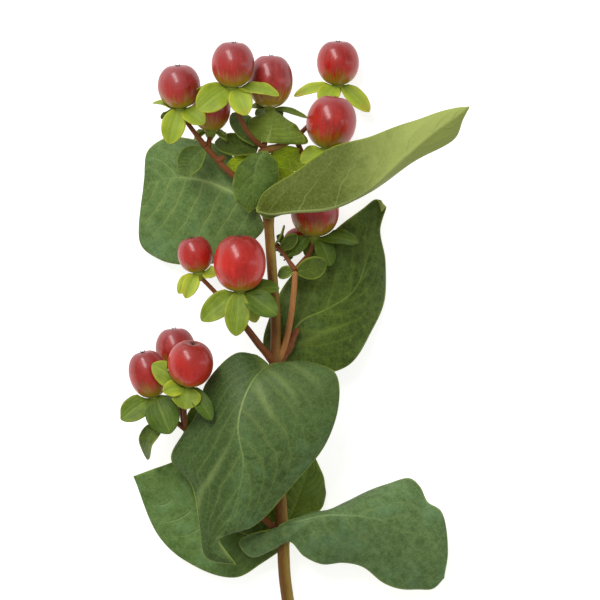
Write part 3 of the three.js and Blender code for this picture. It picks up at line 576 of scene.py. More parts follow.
def sepal(berry, reach, width, face, dark, seed):
    axis = berry_axes(berry)[0]
    outward = unit(reach - reach.dot(axis) * axis)
    root = berry_foot(berry, SEPAL_DROP) + outward * SEPAL_ROOT
    tip = berry_foot(berry, CUP_LENGTH / 2) + reach
    length = np.linalg.norm(reach)
    curl = length * SEPAL_CURL * math.sin(5.1 * seed)
    middle, own = blade(root, tip, width, face, SEPAL_ARCH * length, SEPAL_CUP, SEPAL_GRID, curl,
                        SEPAL_RIPPLE * width, seed)
    edge = SEPAL_EDGE_SHARE + (1 - SEPAL_EDGE_SHARE) * (1 - np.abs(own["across"]) ** 3)
    half = SEPAL_THICKNESS / 2 * edge * (1 - SEPAL_TIP_THINNING * own["along"])
    groove = SEPAL_GROOVE * hump(own["across"] * width, SEPAL_GROOVE_WIDTH)
    middle = kept_off_berry(middle, berry, SEPAL_GAP)
    return thin_blade(middle, half - groove, half + groove, {**own, "dark": dark, "seed": seed})


def cup(berry, dark):
    _, level, front = berry_axes(berry)
    turns = np.linspace(0, 2 * math.pi, CUP_SIDES, endpoint=False)
    ring = np.cos(turns)[:, None] * front + np.sin(turns)[:, None] * level
    points = np.concatenate([berry_foot(berry, drop) + ring * radius for drop, radius in CUP_PROFILE])
    index = np.arange(len(points)).reshape(len(CUP_PROFILE), -1)
    around = np.roll(index, -1, axis=1)
    quads = np.stack([index[:-1], around[:-1], around[1:], index[1:]], -1).reshape(-1, 4)
    faces = quads.tolist() + [index[0][::-1].tolist(), index[-1].tolist()]
    flat = dict(dark=dark, along=0.0, across=0.0, margin=2.0, seed=0.3, under=1.0)
    looks = {name: np.full(len(points), value) for name, value in flat.items()}
    return dict(points=points, faces=faces, looks=looks)


sepal_green = sepal_skin()
for order, (name, calyx) in enumerate(CALYXES.items()):
    berry = BERRIES[name]
    axis, level, front = berry_axes(berry)
    length, middle_turn, rear_tone_and_shade = calyx["rear"]
    parts = [cup(berry, rear_tone_and_shade)]
    # The last number of a sepal is its darkness: partly its own green, partly painted shade.
    for number, (*reach, width, facing, depth) in enumerate(calyx["sepals"]):
        tilt = math.radians(facing)
        face = axis * math.cos(tilt) + np.array([0, 0, math.sin(tilt)])
        seed = order * CALYX_SEED_STEP + number
        parts.append(sepal(berry, np.array(reach, float), width, face, depth, seed))
    spare = SEPAL_COUNT - len(calyx["sepals"])
    for number in range(spare):
        turn = math.radians(middle_turn + REAR_SPACING * (number - (spare - 1) / 2))
        reach = unit(level * math.cos(turn) + front * math.sin(turn) - REAR_DROOP * axis) * length
        seed = order * CALYX_SEED_STEP + number + REAR_SEED
        parts.append(sepal(berry, reach, length * SEPAL_WIDTH_TO_LENGTH, axis, rear_tone_and_shade, seed))
    show(joined_mesh(parts, sepal_green), f"calyx_{name}")


# ---------------------------------------------------------------------------------------
# The stem: one woody stem, a little swollen where its leaves stand in pairs, with the green
# shoots that fork from it and the thin red stalks of the berries. Its bark has fine lines
# along it. One node tree grows the wood around all the lines.
STEM_RADII = (1.85, 1.3)
STEM_LINE = [
    (1.5, -91.5, 1.9), (-0.5, -74, 5), (-2.5, -59, 8.5), (-3, -47.5, 10.5), (-4, -32, 13),
    (-4.5, -12.5, 15.5), (-5, 1, 17.5), (-5, 12.5, 18.5), (-6, 26.5, 20), (-7, 41, 21), (-7.5, 52, 22),
    (-8.5, 61, 22.5),
]
STEM_NODES = [(-3, -47.5, 10.5), (-5, 1, 17.5), (-7.2, 42.5, 21.1), (-8.5, 60.5, 22.5)]
# Shoots: radius at the root and at the tip, how much fatter the middle is, how red and how
# tan the bark is, and the points.
SHOOTS = [
    (1.0, 0.8, 0, 0.9, 0, [(-3.5, -47.5, 10.5), (-9, -42.5, 11.8), (-19, -33, 12), (-27, -25, 12),
                           (-30.5, -18, 12.5)]),
    (1.15, 0.9, 0, 1, 0, [(-5, 0.5, 17.5), (-9.2, 5.2, 20), (-12.7, 9.8, 22.5), (-16, 14, 23.5)]),
    (0.95, 0.75, 0, 0.15, 1, [(-4.5, 0.5, 17.5), (-2.5, 5.5, 18), (-0.9, 12.5, 18.5), (0.2, 21.5, 18.5),
                              (0.5, 26.5, 18.5)]),
    (0.62, 0.5, 0, 0.9, 0, [(0.5, 26.5, 18.5), (-2, 30, 16.5), (-4.5, 33.5, 14.5)]),
    (1.3, 0.8, 0.7, 1, 0, [(-4.5, 0.5, 17.2), (-2.3, 4.2, 16.6), (-0.4, 7.4, 16.2), (1.3, 10.4, 15.9)]),
    (0.95, 0.8, 0, 0.9, 0, [(-7.5, 44, 21.3), (-13.8, 50.4, 21), (-20, 56, 21.3), (-24.8, 61.4, 21.5)]),
    (0.9, 0.75, 0, 0.5, 0, [(-8, 60, 22.5), (-3.5, 61.5, 20.5), (0.5, 63.5, 17.5)]),
    (0.85, 0.6, 0, 0.9, 0, [(-21, 57.2, 21.3), (-19.2, 58.4, 21.9)]),
]
# The stalk of each berry. It ends in the cup, a little below the berry's foot.
STALK_RADII = (0.7, 0.6)
STALKS = {
    "top_left": [(-24.8, 61.4, 21.5), (-28.7, 66.4, 22.8)],
    "top_front": [(-8.5, 61, 22.5), (-12, 64, 26), (-15.5, 70.5, 28.5)],
    "top_low": [(-24, 60.6, 21.3)],
    "top_middle": [(-8.5, 60.5, 22.5), (-7.5, 64.5, 21.5)],
    "top_right": [(0.5, 63.5, 17.5), (5, 68, 10.5), (10, 73, 6.5)],
    "top_large": [(0.5, 63.5, 17.5), (3.5, 58, 16.3), (7, 56, 16.7)],
    "middle_right": [(0.5, 26.5, 18.5), (2.5, 29, 15.5), (4.5, 31.5, 12.5)],
    "middle_front": [(-16, 14, 23.5), (-15.8, 16.5, 26.5)],
    "middle_left": [(-16, 14, 23.5), (-22, 20.5, 23)],
    "low_left": [(-30.5, -18, 12.5), (-34, -15, 14)],
    "low_front": [(-30.5, -18, 12.5), (-30.5, -15, 15), (-30.5, -11, 18.5)],
    "low_back": [(-30.5, -18, 12.5), (-31.5, -13, 11), (-32.5, -7.5, 9)],
    "middle_small": [(-4.5, 33.5, 14.5), (-5.4, 32.5, 9.5)],
}
STALK_FLARE = 0.15
STALK_END_DROP = 1.2
NODE_SWELLING = 0.3
NODE_LENGTH = 2.4
NODE_RING_LENGTH = 1.6
ROOT_FLARE = 0.3
ROOT_SUNK = 1.2
ROOT_LENGTH = 2.2
BULGE_SHARE = 0.22
STEM_STEP = 0.5
# The main stem is a little red, and redder around two heights. Its first points make the
# flat, pale cut end.
STEM_RED = 0.12
STEM_REDDENING = [(-35, 0.5), (8, 0.5)]
REDDENING_REACH = 9
CUT_RADIUS_SHARES = (0.04, 0.9, 1)
CUT_PALENESS = (1, 0.9, 0)
CUT_STEP_SHARE = 0.05


def smooth_line(points, places):
    """Points of the smooth line through the given ones, at places from 0 to 1 in their order."""
    points = np.asarray(points, float)
    line = np.vstack([2 * points[0] - points[1], points, 2 * points[-1] - points[-2]])
    station = np.asarray(places) * (len(points) - 1)
    index = np.minimum(station.astype(int), len(points) - 2)
    part = (station - index)[:, None]
    before, here, there, beyond = (line[index + step] for step in range(4))
    first, middle, last = (np.linalg.norm(end - start, axis=1)[:, None] ** 0.5
                           for start, end in ((before, here), (here, there), (there, beyond)))
    out = ((here - before) / first - (there - before) / (first + middle) + (there - here) / middle) * middle
    into = ((there - here) / middle - (beyond - here) / (middle + last) + (beyond - there) / last) * middle
    bend = -3 * here + 3 * there - 2 * out - into
    return here + out * part + bend * part ** 2 + (2 * here - 2 * there + out + into) * part ** 3


def even_line(points, step):
    """The smooth line through the points in even steps, and how far along it each lies."""
    fine = smooth_line(points, np.linspace(0, 1, 60 * len(points)))
    gone = np.concatenate([[0], np.cumsum(np.linalg.norm(np.diff(fine, axis=0), axis=1))])
    stations = np.linspace(0, gone[-1], max(4, round(gone[-1] / step) + 1))
    return np.column_stack([np.interp(stations, gone, numbers) for numbers in fine.T]), stations


def bark():
    material, wire = new_material("bark")
    [facing] = wire.stored("facing", output=1)
    way, red, tan, node, cut = wire.stored("way", "red", "tan", "node", "cut")
    along = wire.vector(X=way * 0.035, Y=way * 0.05, Z=way * 0.02)
    lines = facing.vector_math("ADD", first=along).clouds(5.0, 4.0, 0.65)
    place = wire.place()
    patches = place.noise(5.0, 2.0)
    grain = place.noise(0.6, 3.0)
    # The right side lighter and tanner: partly the bark's own tan, partly a painted highlight.
    tan_and_lit_side = (facing.part(0) + (lines - 0.5) * 0.9 + (patches - 0.5) * 0.6).between(-0.35, 0.75)
    wood = tan_and_lit_side.blend(paint(104, 72, 24), paint(148, 126, 52))
    wood = (tan * 0.9).blend(wood, lines.blend(paint(150, 88, 40), paint(196, 138, 82)))
    wood = (red * 0.92).blend(wood, lines.blend(paint(82, 34, 12), paint(136, 74, 36)))
    wood = ((lines - 0.55).between(0, 0.2) * 0.25).blend(wood, paint(190, 172, 120))
    wood = (grain * 0.25).blend(wood, paint(72, 46, 26))
    wood = (node * 0.55).blend(wood, patches.blend(paint(110, 48, 34), paint(120, 96, 44)))
    wood = cut.blend(wood, place.clouds(4000.0).blend(paint(176, 158, 104), paint(206, 194, 150)))
    surface(wire, {
        "Base Color": wood,
        "Roughness": 0.46 + grain * 0.2,
        "Specular IOR Level": 0.18,
    }, lines * 0.8 + grain * 0.3, 0.08)
    return material


def wood_tree(sizes):
    tree, given = new_tree("wood", sizes)
    wire = Wire(tree)
    radius, way = (wire.node("GeometryNodeInputNamedAttribute", {"Name": name}, {"data_type": "FLOAT"})
                   for name in ("radius", "way"))
    line = wire.node("GeometryNodeMeshToCurve", {"Mesh": given["Geometry"]})
    section = wire.node("GeometryNodeCurvePrimitiveCircle", {"Resolution": given["Sides"], "Radius": 1.0})
    wood = wire.node("GeometryNodeCurveToMesh", {
        "Curve": line, "Profile Curve": section, "Scale": radius, "Fill Caps": True})
    normal = wire.node("GeometryNodeInputNormal")
    wood = wire.node("GeometryNodeStoreNamedAttribute",
                     {"Geometry": wood, "Name": "facing", "Value": normal},
                     {"data_type": "FLOAT_VECTOR", "domain": "POINT"})
    drift = wire.vector(X=way * 0.06, Y=way * 0.09)
    knots = normal.vector_math("ADD", first=drift).clouds(1.6, 3.0)
    push = normal.vector_math("SCALE", scale=(knots - 0.55) * given["Unevenness"])
    wood = wire.node("GeometryNodeSetPosition", {"Geometry": wood, "Offset": push})
    wood = wire.node("GeometryNodeSetShadeSmooth", {"Geometry": wood})
    wood = wire.node("GeometryNodeRealizeInstances", {"Geometry": wood})
    wood = wire.node("GeometryNodeSetMaterial", {"Geometry": wood, "Material": given["Bark"]})
    wire.node("NodeGroupOutput", {"Geometry": wood})
    return tree


def branch(points, radii, red, tan, flare=ROOT_FLARE, nodes=(), bulge=0.0):
    """The line of one branch, with its radius and the looks of its bark at each point."""
    line, way = even_line(points, STEM_STEP)
    share = way / way[-1]
    radius = radii[0] + (radii[1] - radii[0]) * share
    radius = radius * (1 + flare * hump(np.maximum(way - ROOT_SUNK, 0), ROOT_LENGTH))
    radius = radius * (1 + bulge * hump(share - 0.5, BULGE_SHARE))
    ring = np.zeros(len(line))
    for node in nodes:
        away = np.linalg.norm(line - np.array(node), axis=1)
        radius = radius * (1 + NODE_SWELLING * hump(away, NODE_LENGTH))
        ring += hump(away, NODE_RING_LENGTH)
    left = (way[-1] - way) / radii[1]
    radius = radius * np.sqrt(np.maximum(1 - np.maximum(1 - left, 0) ** 2, 0.03))
    even = np.ones(len(line))
    return line, dict(radius=radius * MM, way=way, red=red * even, tan=tan * even, node=ring, cut=0 * even)


line, looks = branch(STEM_LINE, STEM_RADII, STEM_RED, 0.0, flare=0.0, nodes=STEM_NODES)
looks["radius"][:3] *= CUT_RADIUS_SHARES
looks["cut"][:3] = CUT_PALENESS
line[0] = line[1] + (line[0] - line[1]) * CUT_STEP_SHARE
for height, reddening in STEM_REDDENING:
    looks["red"] += reddening * hump(line[:, 1] - height, REDDENING_REACH)
branches = [(line, looks)]
for root, tip, bulge, red, tan, points in SHOOTS:
    branches.append(branch(points, (root, tip), red, tan, bulge=bulge))
for name, points in STALKS.items():
    line_end = berry_foot(BERRIES[name], STALK_END_DROP)
    branches.append(branch([*points, line_end], STALK_RADII, 1.0, 0.0, flare=STALK_FLARE))
lines = bpy.data.meshes.new("lines")
ends = np.cumsum([len(line) for line, _ in branches])
edges = [(i, i + 1) for i in range(ends[-1] - 1) if i + 1 not in ends]
lines.from_pydata((np.concatenate([line for line, _ in branches]) * MM).tolist(), edges, [])
give(lines, {name: np.concatenate([looks[name] for _, looks in branches]) for name in branches[0][1]})
wood_rule = {"Sides": 18, "Unevenness": 0.16 * MM, "Bark": bark()}
wood = tree_mesh(wood_tree(wood_rule), wood_rule, lines)
for vertex in wood.vertices:
    vertex.co.z = max(vertex.co.z, 0)
show(wood, "stem")


# ---------------------------------------------------------------------------------------
# The leaves: leathery, in pairs straight on the stem, dark and faintly glossy above and paler
# below, with a pale midrib and side veins that curve towards the tip. Each is one thin closed
# skin, spread between its midrib and its two edges.

# Each is described as seen from its upper face with the tip ahead, by lines from base to tip
# along the midrib and the two edges, which both end at the midrib's tip. The belly is how far
# each half bulges upwards, and the slope how far the side veins run ahead. Creases are pale
# raised lines, each with its width, strength and points; the first of the middle front leaf is
# a painted highlight along a bend of the leaf.
LEAVES = {
    "low_right": dict(belly=0.8, slope=0.24, finish="shaded",
        rib=[(-3.5, -47.5, 12.8), (-2.4, -46.1, 13.6), (-0.7, -44.9, 14.4), (1.8, -43.9, 15.2),
             (4.9, -43.1, 16), (8.3, -42.3, 16.8), (11.9, -42.1, 17.4), (15.8, -42.2, 17.5),
             (19.8, -42.6, 17.2), (23.7, -43.3, 16.4), (27.3, -44.9, 15.2), (30.7, -47.5, 13.8),
             (34.1, -51.1, 12.2), (37.9, -55.4, 10.4), (42.3, -60, 8.5)],
        left=[(-3.5, -47.5, 12.8), (-4.4, -45.5, 13.4), (-1.8, -43.8, 13.6), (1.5, -42.7, 13.4),
              (5.5, -41.3, 12.6), (10.2, -40.8, 11.4), (14.7, -38.6, 10), (19.8, -36, 8.8), (26, -33.6, 7.6),
              (32.8, -31.8, 6.8), (35.2, -34.1, 7.2), (37.4, -38.5, 7.8), (41.7, -41.2, 7.6),
              (43.4, -52, 8.2)],
        right=[(-3.5, -47.5, 12.8), (-9.4, -46.9, 12.9), (-15.3, -50, 11.4), (-11.9, -54, 11),
               (-6, -52, 12.6), (-1, -49.6, 13.4), (2.9, -53.6, 13.4), (8, -56, 12.4), (13.9, -55.6, 11.4),
               (19.5, -56.9, 11), (25.1, -61.1, 9.4), (30.2, -62.9, 8.2), (35, -63.3, 7.8), (39.2, -63, 8)]),
    "low_left": dict(belly=0.8, slope=0.24, finish="under_stem",
        rib=[(-4.5, -50.5, 8.5), (-11.5, -48.5, 7), (-20, -45, 6.5), (-29, -41, 7), (-37.5, -36, 8),
             (-45, -31.3, 9.5)],
        left=[(-4, -52.5, 8), (-9, -55.9, 6.5), (-16, -59.8, 6), (-26.3, -57.5, 4.5), (-37.5, -48.8, 5)],
        right=[(-5, -47, 8.5), (-7.2, -39.5, 4.4), (-18, -29.5, 3), (-28, -26, 3.5), (-37, -28.5, 6.5)]),
    "low_back": dict(belly=0.6, slope=0.24, finish="deep",
        rib=[(-2.5, -45.5, 8.5), (0, -40.5, 6.5), (2, -35.5, 5), (4, -30, 4), (4.5, -23, 4)],
        left=[(-4.4, -45.6, 8.5), (-8.4, -40.5, 7.2), (-7.4, -33, 6.2), (-2.5, -26.5, 5)],
        right=[(-0.5, -45, 8), (7, -41.5, 3.5), (9.1, -36.5, 1.5), (8, -30.5, 2)]),
    "mid_front": dict(belly=1.4, slope=0.5, finish="full",
        creases=[
            # A painted highlight along the bend of the leaf, drawn as a crease.
            (0.95, 0.42, [(-18.9, -23.7), (-22.5, -30.7), (-25.9, -35.7), (-26.8, -41), (-27.6, -45.5)]),
            (0.85, 0.9, [(-20.6, -48.2), (-19.5, -51), (-17.2, -54.5)]),
            (0.85, 0.5, [(-10.8, -3), (-8.8, -8.3), (-6.6, -13.1), (-5.2, -16.7)]),
            (0.85, 0.45, [(-8.8, -0.3), (-3.8, -4.2), (-0.1, -8.3), (1.8, -15.3)]),
            (0.85, 0.35, [(-1.8, 0.9), (4.6, -3), (8.5, -7.5)]),
        ],
        rib=[(-6.5, 0.5, 19.5), (-11, -4, 23), (-14, -10, 25.5), (-15.5, -18, 27), (-14, -27, 26.5),
             (-15.5, -36.5, 24.5), (-19, -45.5, 22), (-22.5, -51, 19.5), (-16, -56, 18)],
        left=[(-3, 0.5, 19.5), (4, 1, 20.5), (11.5, -2, 21.5), (12.7, -10.5, 22.5), (8.7, -22.6, 22.5),
              (-1, -34.5, 22), (-12, -45.5, 20.5), (-21, -47.5, 20.5)],
        right=[(-9.8, 2.8, 19.5), (-16.2, 3.2, 19), (-24.5, -4.8, 17.5), (-26.6, -13, 16.5),
               (-31.1, -19.5, 15.5), (-34.5, -26.5, 14.5), (-28.5, -33.5, 18), (-26.5, -44, 19),
               (-24.5, -54, 17.5)]),
    "mid_back": dict(belly=0.8, slope=0.26, finish="darkest",
        creases=[(0.85, 0.35, [(1.8, 6.1), (7.4, 8.4), (15.9, 12)])],
        rib=[(-4, 1, 15.5), (-2, 6.5, 14.5), (2.5, 12.5, 13), (10, 16, 11), (17, 21, 8), (21, 31, 5),
             (23, 39, 4), (24.4, 46, 5.5), (24.7, 42.9, 8)],
        left=[(-6, 1, 15.5), (-8.5, 6, 14), (-6.5, 14, 12.5), (-2.5, 22.5, 10.5), (5.5, 31.5, 7.9),
              (13, 39.1, 5.9), (19.6, 44, 5.5), (23.2, 46.5, 5.5)],
        right=[(-2, 0, 15), (6.5, -2.5, 13), (15.3, -0.2, 10.5), (21.9, 9.4, 6), (25.8, 18.8, 2),
               (25.8, 29, 1.5), (24.4, 38, 3), (26.1, 44.3, 5.5)]),
    "high_right": dict(belly=-0.8, slope=0.04, finish="olive",
        rib=[(-10.5, 43.5, 24.5), (-7, 42.5, 25), (0.5, 43, 27.5), (11, 44, 30), (21, 49, 31.5),
             (31, 58, 32.5), (40, 65.5, 33.5), (45, 69, 34.5), (49, 72, 35)],
        left=[(-10.5, 43.5, 24.5), (-7.5, 41, 24), (1.5, 45, 21.5), (11, 46.5, 22), (21, 49.4, 24.5),
              (33.3, 56.4, 27.5), (45, 63.5, 30.5), (47.3, 68.6, 33.5)],
        right=[(-10.5, 43.5, 24.5), (-8.5, 48, 26), (-0.5, 53.5, 26.5), (11, 61, 27), (22, 63.9, 27.5),
               (32, 68, 28.5), (41, 70.6, 31), (45.5, 71.8, 33.5)]),
    "high_left": dict(belly=0.8, slope=0.2, finish="broad",
        creases=[(0.8, 0.7, [(-15, 47.4), (-19.2, 49.4), (-24.8, 51.6), (-30, 52.5), (-36.1, 52.6)])],
        rib=[(-9.5, 43, 19), (-15.5, 47.5, 17), (-23, 51, 13.5), (-30, 52.5, 9), (-36, 52.5, 5.5),
             (-40, 51.5, 3), (-42, 52, 2)],
        left=[(-7.9, 39, 19.2), (-9.6, 36.3, 17.3), (-18, 29.8, 13), (-27.5, 28, 8.5), (-37.3, 29.5, 3.5),
              (-43.1, 34, 0)],
        right=[(-8.5, 45, 19), (-13.5, 54, 15.5), (-20, 61, 11), (-27.5, 63.3, 7), (-36, 63.8, 4),
               (-41.1, 60.1, 2.5)]),
}
LEAF_GRID = (118, 71)
LEAF_ENDS = (0.012, 0.999)
LEAF_SPREAD = 1.25
LEAF_HALF_THICKNESS = 0.24
LEAF_EDGE_THINNING = 0.6
LEAF_SEED_STEP = 0.37
RIB_RIDGE = 0.42
RIB_GROOVE = 0.14
RIB_WIDTH = 0.75
QUILT = 0.16
EDGE_WAVE = 0.32
VEINS = 8.5
VEIN_BEND = 0.16
VEIN_STAGGER = 0.43
CREASE_STEPS = 40
# Finishes: the green of the upper face and its darker patches, the lower face and its paler
# parts, and the veins; the lower face is darker near the base as painted shade. Some have
# painted shade near the base of the upper face too, or over the right half.
LEAF_FINISHES = {
    "full": dict(green=(86, 111, 60), deep=(50, 71, 28), under=(104, 116, 50), pale=(146, 156, 86),
                 vein=(128, 146, 78), strength=0.75, base_shade=(68, 88, 42), shaded_side=0.8),
    "broad": dict(green=(96, 122, 66), deep=(64, 88, 38), under=(104, 116, 50), pale=(146, 156, 86),
                  vein=(132, 150, 80), strength=0.75),
    "shaded": dict(green=(97, 123, 74), deep=(64, 87, 41), under=(120, 132, 28), pale=(142, 150, 58),
                   vein=(134, 154, 90), strength=0.55),
    "under_stem": dict(green=(104, 132, 72), deep=(70, 96, 38), under=(120, 132, 28), pale=(142, 150, 58),
                       vein=(130, 150, 84), strength=0.55, base_shade=(62, 82, 20)),
    "deep": dict(green=(96, 118, 36), deep=(62, 80, 14), under=(98, 110, 44), pale=(130, 142, 70),
                 vein=(116, 136, 44), strength=0.75),
    "darkest": dict(green=(80, 100, 34), deep=(44, 60, 8), under=(98, 110, 44), pale=(130, 142, 70),
                    vein=(116, 134, 46), strength=0.75),
    "olive": dict(green=(98, 120, 46), deep=(66, 88, 26), under=(76, 88, 20), pale=(138, 149, 74),
                  vein=(150, 162, 96), strength=0.7),
    "young": dict(green=(86, 109, 37), deep=(54, 74, 16), under=(122, 134, 58), pale=(144, 154, 74),
                  vein=(122, 140, 76), strength=0.3),
    "young_dark": dict(green=(84, 104, 30), deep=(54, 68, 12), under=(100, 114, 30), pale=(124, 134, 50),
                       vein=(104, 122, 50), strength=0.3),
    "fresh": dict(green=(118, 138, 46), deep=(82, 98, 22), under=(122, 134, 58), pale=(144, 154, 74),
                  vein=(146, 164, 76), strength=0.5),
    "bright": dict(green=(180, 206, 28), deep=(126, 152, 20), under=(130, 142, 44), pale=(150, 160, 66),
                   vein=(164, 178, 70), strength=0.3),
}


def leaf_skin(name, green, deep, under, pale, vein, strength, base_shade=None, shaded_side=0.0):
    material, wire = new_material(f"leaf_{name}")
    along, across, below, length, seed, slope, inward, margin, crease = wire.stored(
        "along", "across", "under", "length", "seed", "slope", "inward", "margin", "crease")
    green, deep, under, pale, sky_sheen, vein, rib_light = (paint(*colour) for colour in (
        green, deep, under, pale, (green[0] - 2, green[1] + 6, green[2] + 20), vein,
        (min(value + 20, 255) for value in vein)))
    place = wire.place()
    share = across.math("ABSOLUTE")
    cloud = place.noise(12.0, 2.0)
    mottle = place.noise(2.2, 5.0, 0.7)
    fine = place.noise(0.6, 3.0, 0.65)
    wobble = (place.noise(8.0, 2.0) - 0.5) * 0.6
    stagger = across.math("GREATER_THAN", 0.0) * VEIN_STAGGER
    phase = (along - share * slope - share * share * VEIN_BEND) * VEINS + stagger + wobble + seed
    away = (phase.math("FRACT") - 0.5).math("ABSOLUTE") * length / VEINS
    fading = 1 - (share + (cloud - 0.5) * 0.6).between(0.35, 0.95)
    side_vein = (1 - away.between(0.04, 0.32)) * fading
    glow = (1 - away.between(0.0, 2.0)) * fading
    rib = 1 - (inward / (1.1 - along)).between(0.12, 0.5)
    rib = rib * (1 - (along + (cloud - 0.5) * 0.4).between(0.1, 0.8) * 0.85)
    bent = place.clouds(1 / (3.0 * MM), output=1)
    wandering = bent.vector_math("MULTIPLY_ADD", first=(1.2 * MM,) * 3, second=place)
    cells = wire.node("ShaderNodeTexVoronoi", {
        "Vector": wandering, "Scale": 1 / (1.6 * MM), "Randomness": 1.0}, {"feature": "DISTANCE_TO_EDGE"})
    net = 1 - cells.between(0.0, 0.16)
    upper = (cloud * 0.4 + mottle * 0.95 + fine * 0.35 - 0.35).between(0.2, 0.8).blend(deep, green)
    # Patches of painted sheen: a bluish grey standing in for the sky's reflection.
    upper = ((place.noise(9.0, 3.0, 0.6) - 0.5).between(0.0, 0.2) * 0.35).blend(upper, sky_sheen)
    # Painted shade: a darker green over the part near the base.
    if base_shade is not None:
        upper = ((1 - along.between(0.2, 0.6)) * 0.75).blend(upper, paint(*base_shade))
    upper = (across.between(-0.05, 0.3) * shaded_side).blend(upper, deep)
    upper = (glow * 0.2 * strength).blend(upper, vein)
    # The lower face darker near the base as painted shade, paler towards the tip.
    lower = (along * 3.2 + cloud * 0.7 + mottle * 0.4 - 1.8).between(0.0, 0.8).blend(under, pale)
    skin = below.blend(upper, lower)
    skin = (net * mottle * 0.22 * strength).blend(skin, vein)
    skin = ((fine - 0.5).between(0, 0.2) * 0.16).blend(skin, vein)
    skin = (side_vein * 0.42 * strength).blend(skin, vein)
    skin = (rib * 0.8 * strength).blend(skin, rib_light)
    # Pale raised lines, and on the middle front leaf a painted highlight.
    skin = (crease * (0.4 + mottle * 0.5)).blend(skin, rib_light)
    edge = 1 - (margin - (cloud - 0.5) * 0.9).between(0.08, 0.55)
    skin = (edge * 0.5).blend(skin, paint(140, 152, 52))
    heel = 1 - (along + share * 0.03).between(0.0, 0.09)
    skin = (heel * 0.5).blend(skin, paint(136, 148, 58))
    relief = cells.between(0.0, 0.35) * 0.35 + mottle * 0.4 + fine * 0.25
    relief = relief - (side_vein * 0.9 + rib * 0.5) * (1 - below * 2) + crease * 0.5
    surface(wire, {
        "Base Color": skin,
        "Roughness": 0.44 + mottle * 0.14 + below * 0.12,
        "Specular IOR Level": 0.17,
    }, relief, 0.10)
    return material


def on_creases(middle, creases):
    """How much each point of a leaf lies on one of its pale raised lines or painted highlights, from 0 to 1.
    """
    share = np.zeros(middle.shape[:2])
    for width, strength, points in creases:
        line = smooth_line(points, np.linspace(0, 1, CREASE_STEPS))
        away = np.linalg.norm(middle[:, :, None, :2] - line, axis=-1)
        fade = np.sin(math.pi * (0.15 + 0.85 * away.argmin(axis=-1) / (CREASE_STEPS - 1)))
        share = np.maximum(share, strength * fade * hump(away.min(axis=-1), width))
    return share


def leaf_mesh(leaf, grid, seed):
    along = np.linspace(*LEAF_ENDS, grid[0])
    spread = np.linspace(-1, 1, grid[1])
    across = np.sign(spread) * np.abs(spread) ** LEAF_SPREAD * np.ones((grid[0], 1))
    share = np.abs(across)
    lines = leaf["rib"], [*leaf["left"], leaf["rib"][-1]], [*leaf["right"], leaf["rib"][-1]]
    widest = max(math.dist(a, b) for a, b in zip(lines[1], lines[2])) / 2
    rib, left, right = (smooth_line(points, along)[:, None] for points in lines)
    ahead = np.gradient(rib, axis=0)
    reach = np.where(across[..., None] < 0, left - rib, right - rib)
    size = np.linalg.norm(reach, axis=-1)
    grown = np.minimum(1, size / widest)
    upward = unit(np.cross(reach, ahead)) * np.where(across < 0, -1, 1)[..., None]
    stations = along[:, None] * np.ones(grid[1])
    phase = (stations - share * leaf["slope"] - share ** 2 * VEIN_BEND) * VEINS
    phase = phase + VEIN_STAGGER * (across > 0) + seed
    quilt = QUILT * (np.abs(np.cos(math.pi * phase)) - 0.6) * grown * np.minimum(1, 5 * share * (1 - share))
    wave = np.sin(19 * stations + seed) + 0.8 * np.sin(31 * stations + 2 * seed + 3 * np.sign(across))
    height = leaf["belly"] * 4 * share * (1 - share) * grown + quilt + EDGE_WAVE * wave * share ** 4 * grown
    middle = rib + reach * share[..., None] + upward * height[..., None]
    inward = share * size
    rib_form = hump(inward, RIB_WIDTH) * (1 - stations) ** 0.5
    half = LEAF_HALF_THICKNESS * (1 - LEAF_EDGE_THINNING * share ** 6)
    looks = dict(along=stations, across=across, margin=size - inward, inward=inward, seed=seed,
                 slope=leaf["slope"], crease=on_creases(middle, leaf.get("creases", ())),
                 length=np.linalg.norm(np.diff(rib[:, 0], axis=0), axis=1).sum())
    part = thin_blade(middle, half - RIB_GROOVE * rib_form, half + RIB_RIDGE * rib_form, looks)
    return joined_mesh([part], leaf_skins[leaf["finish"]])


leaf_skins = {name: leaf_skin(name, **finish) for name, finish in LEAF_FINISHES.items()}
for order, (name, leaf) in enumerate(LEAVES.items()):
    show(leaf_mesh(leaf, LEAF_GRID, LEAF_SEED_STEP * order), f"leaf_{name}")


# ---------------------------------------------------------------------------------------
# The young leaves of the flowering shoots: small, soft and a fresher green, in pairs where
# the shoots fork. Two broad ones are described like the leaves, and the others are narrow
# blades that arch towards the side they face.
BROAD_YOUNG_LEAVES = {
    "top_front": dict(belly=0.5, slope=0.2, finish="young",
        rib=[(-8, 60, 24.6), (-10, 57, 24.8), (-11, 52, 24.8), (-11.5, 47, 24), (-12.5, 42.5, 22.5)],
        left=[(-7.5, 60, 24.6), (-4.5, 56.5, 24.2), (-4.5, 51, 24.2), (-8, 46, 23.6)],
        right=[(-8.5, 60, 24.6), (-14, 57.5, 23), (-17, 51, 22), (-16, 46, 22)]),
    "top_back": dict(belly=0.4, slope=0.2, finish="fresh",
        rib=[(-7.5, 62.2, 24), (-6.5, 65.3, 24.2), (-6, 68.6, 24), (-5.8, 71.4, 23.2)],
        left=[(-8.4, 62.2, 23.6), (-13, 64.5, 21.2), (-12.2, 68.6, 20.4)],
        right=[(-6.6, 62, 23.8), (4, 62.4, 20.2), (0.6, 67, 20)]),
}
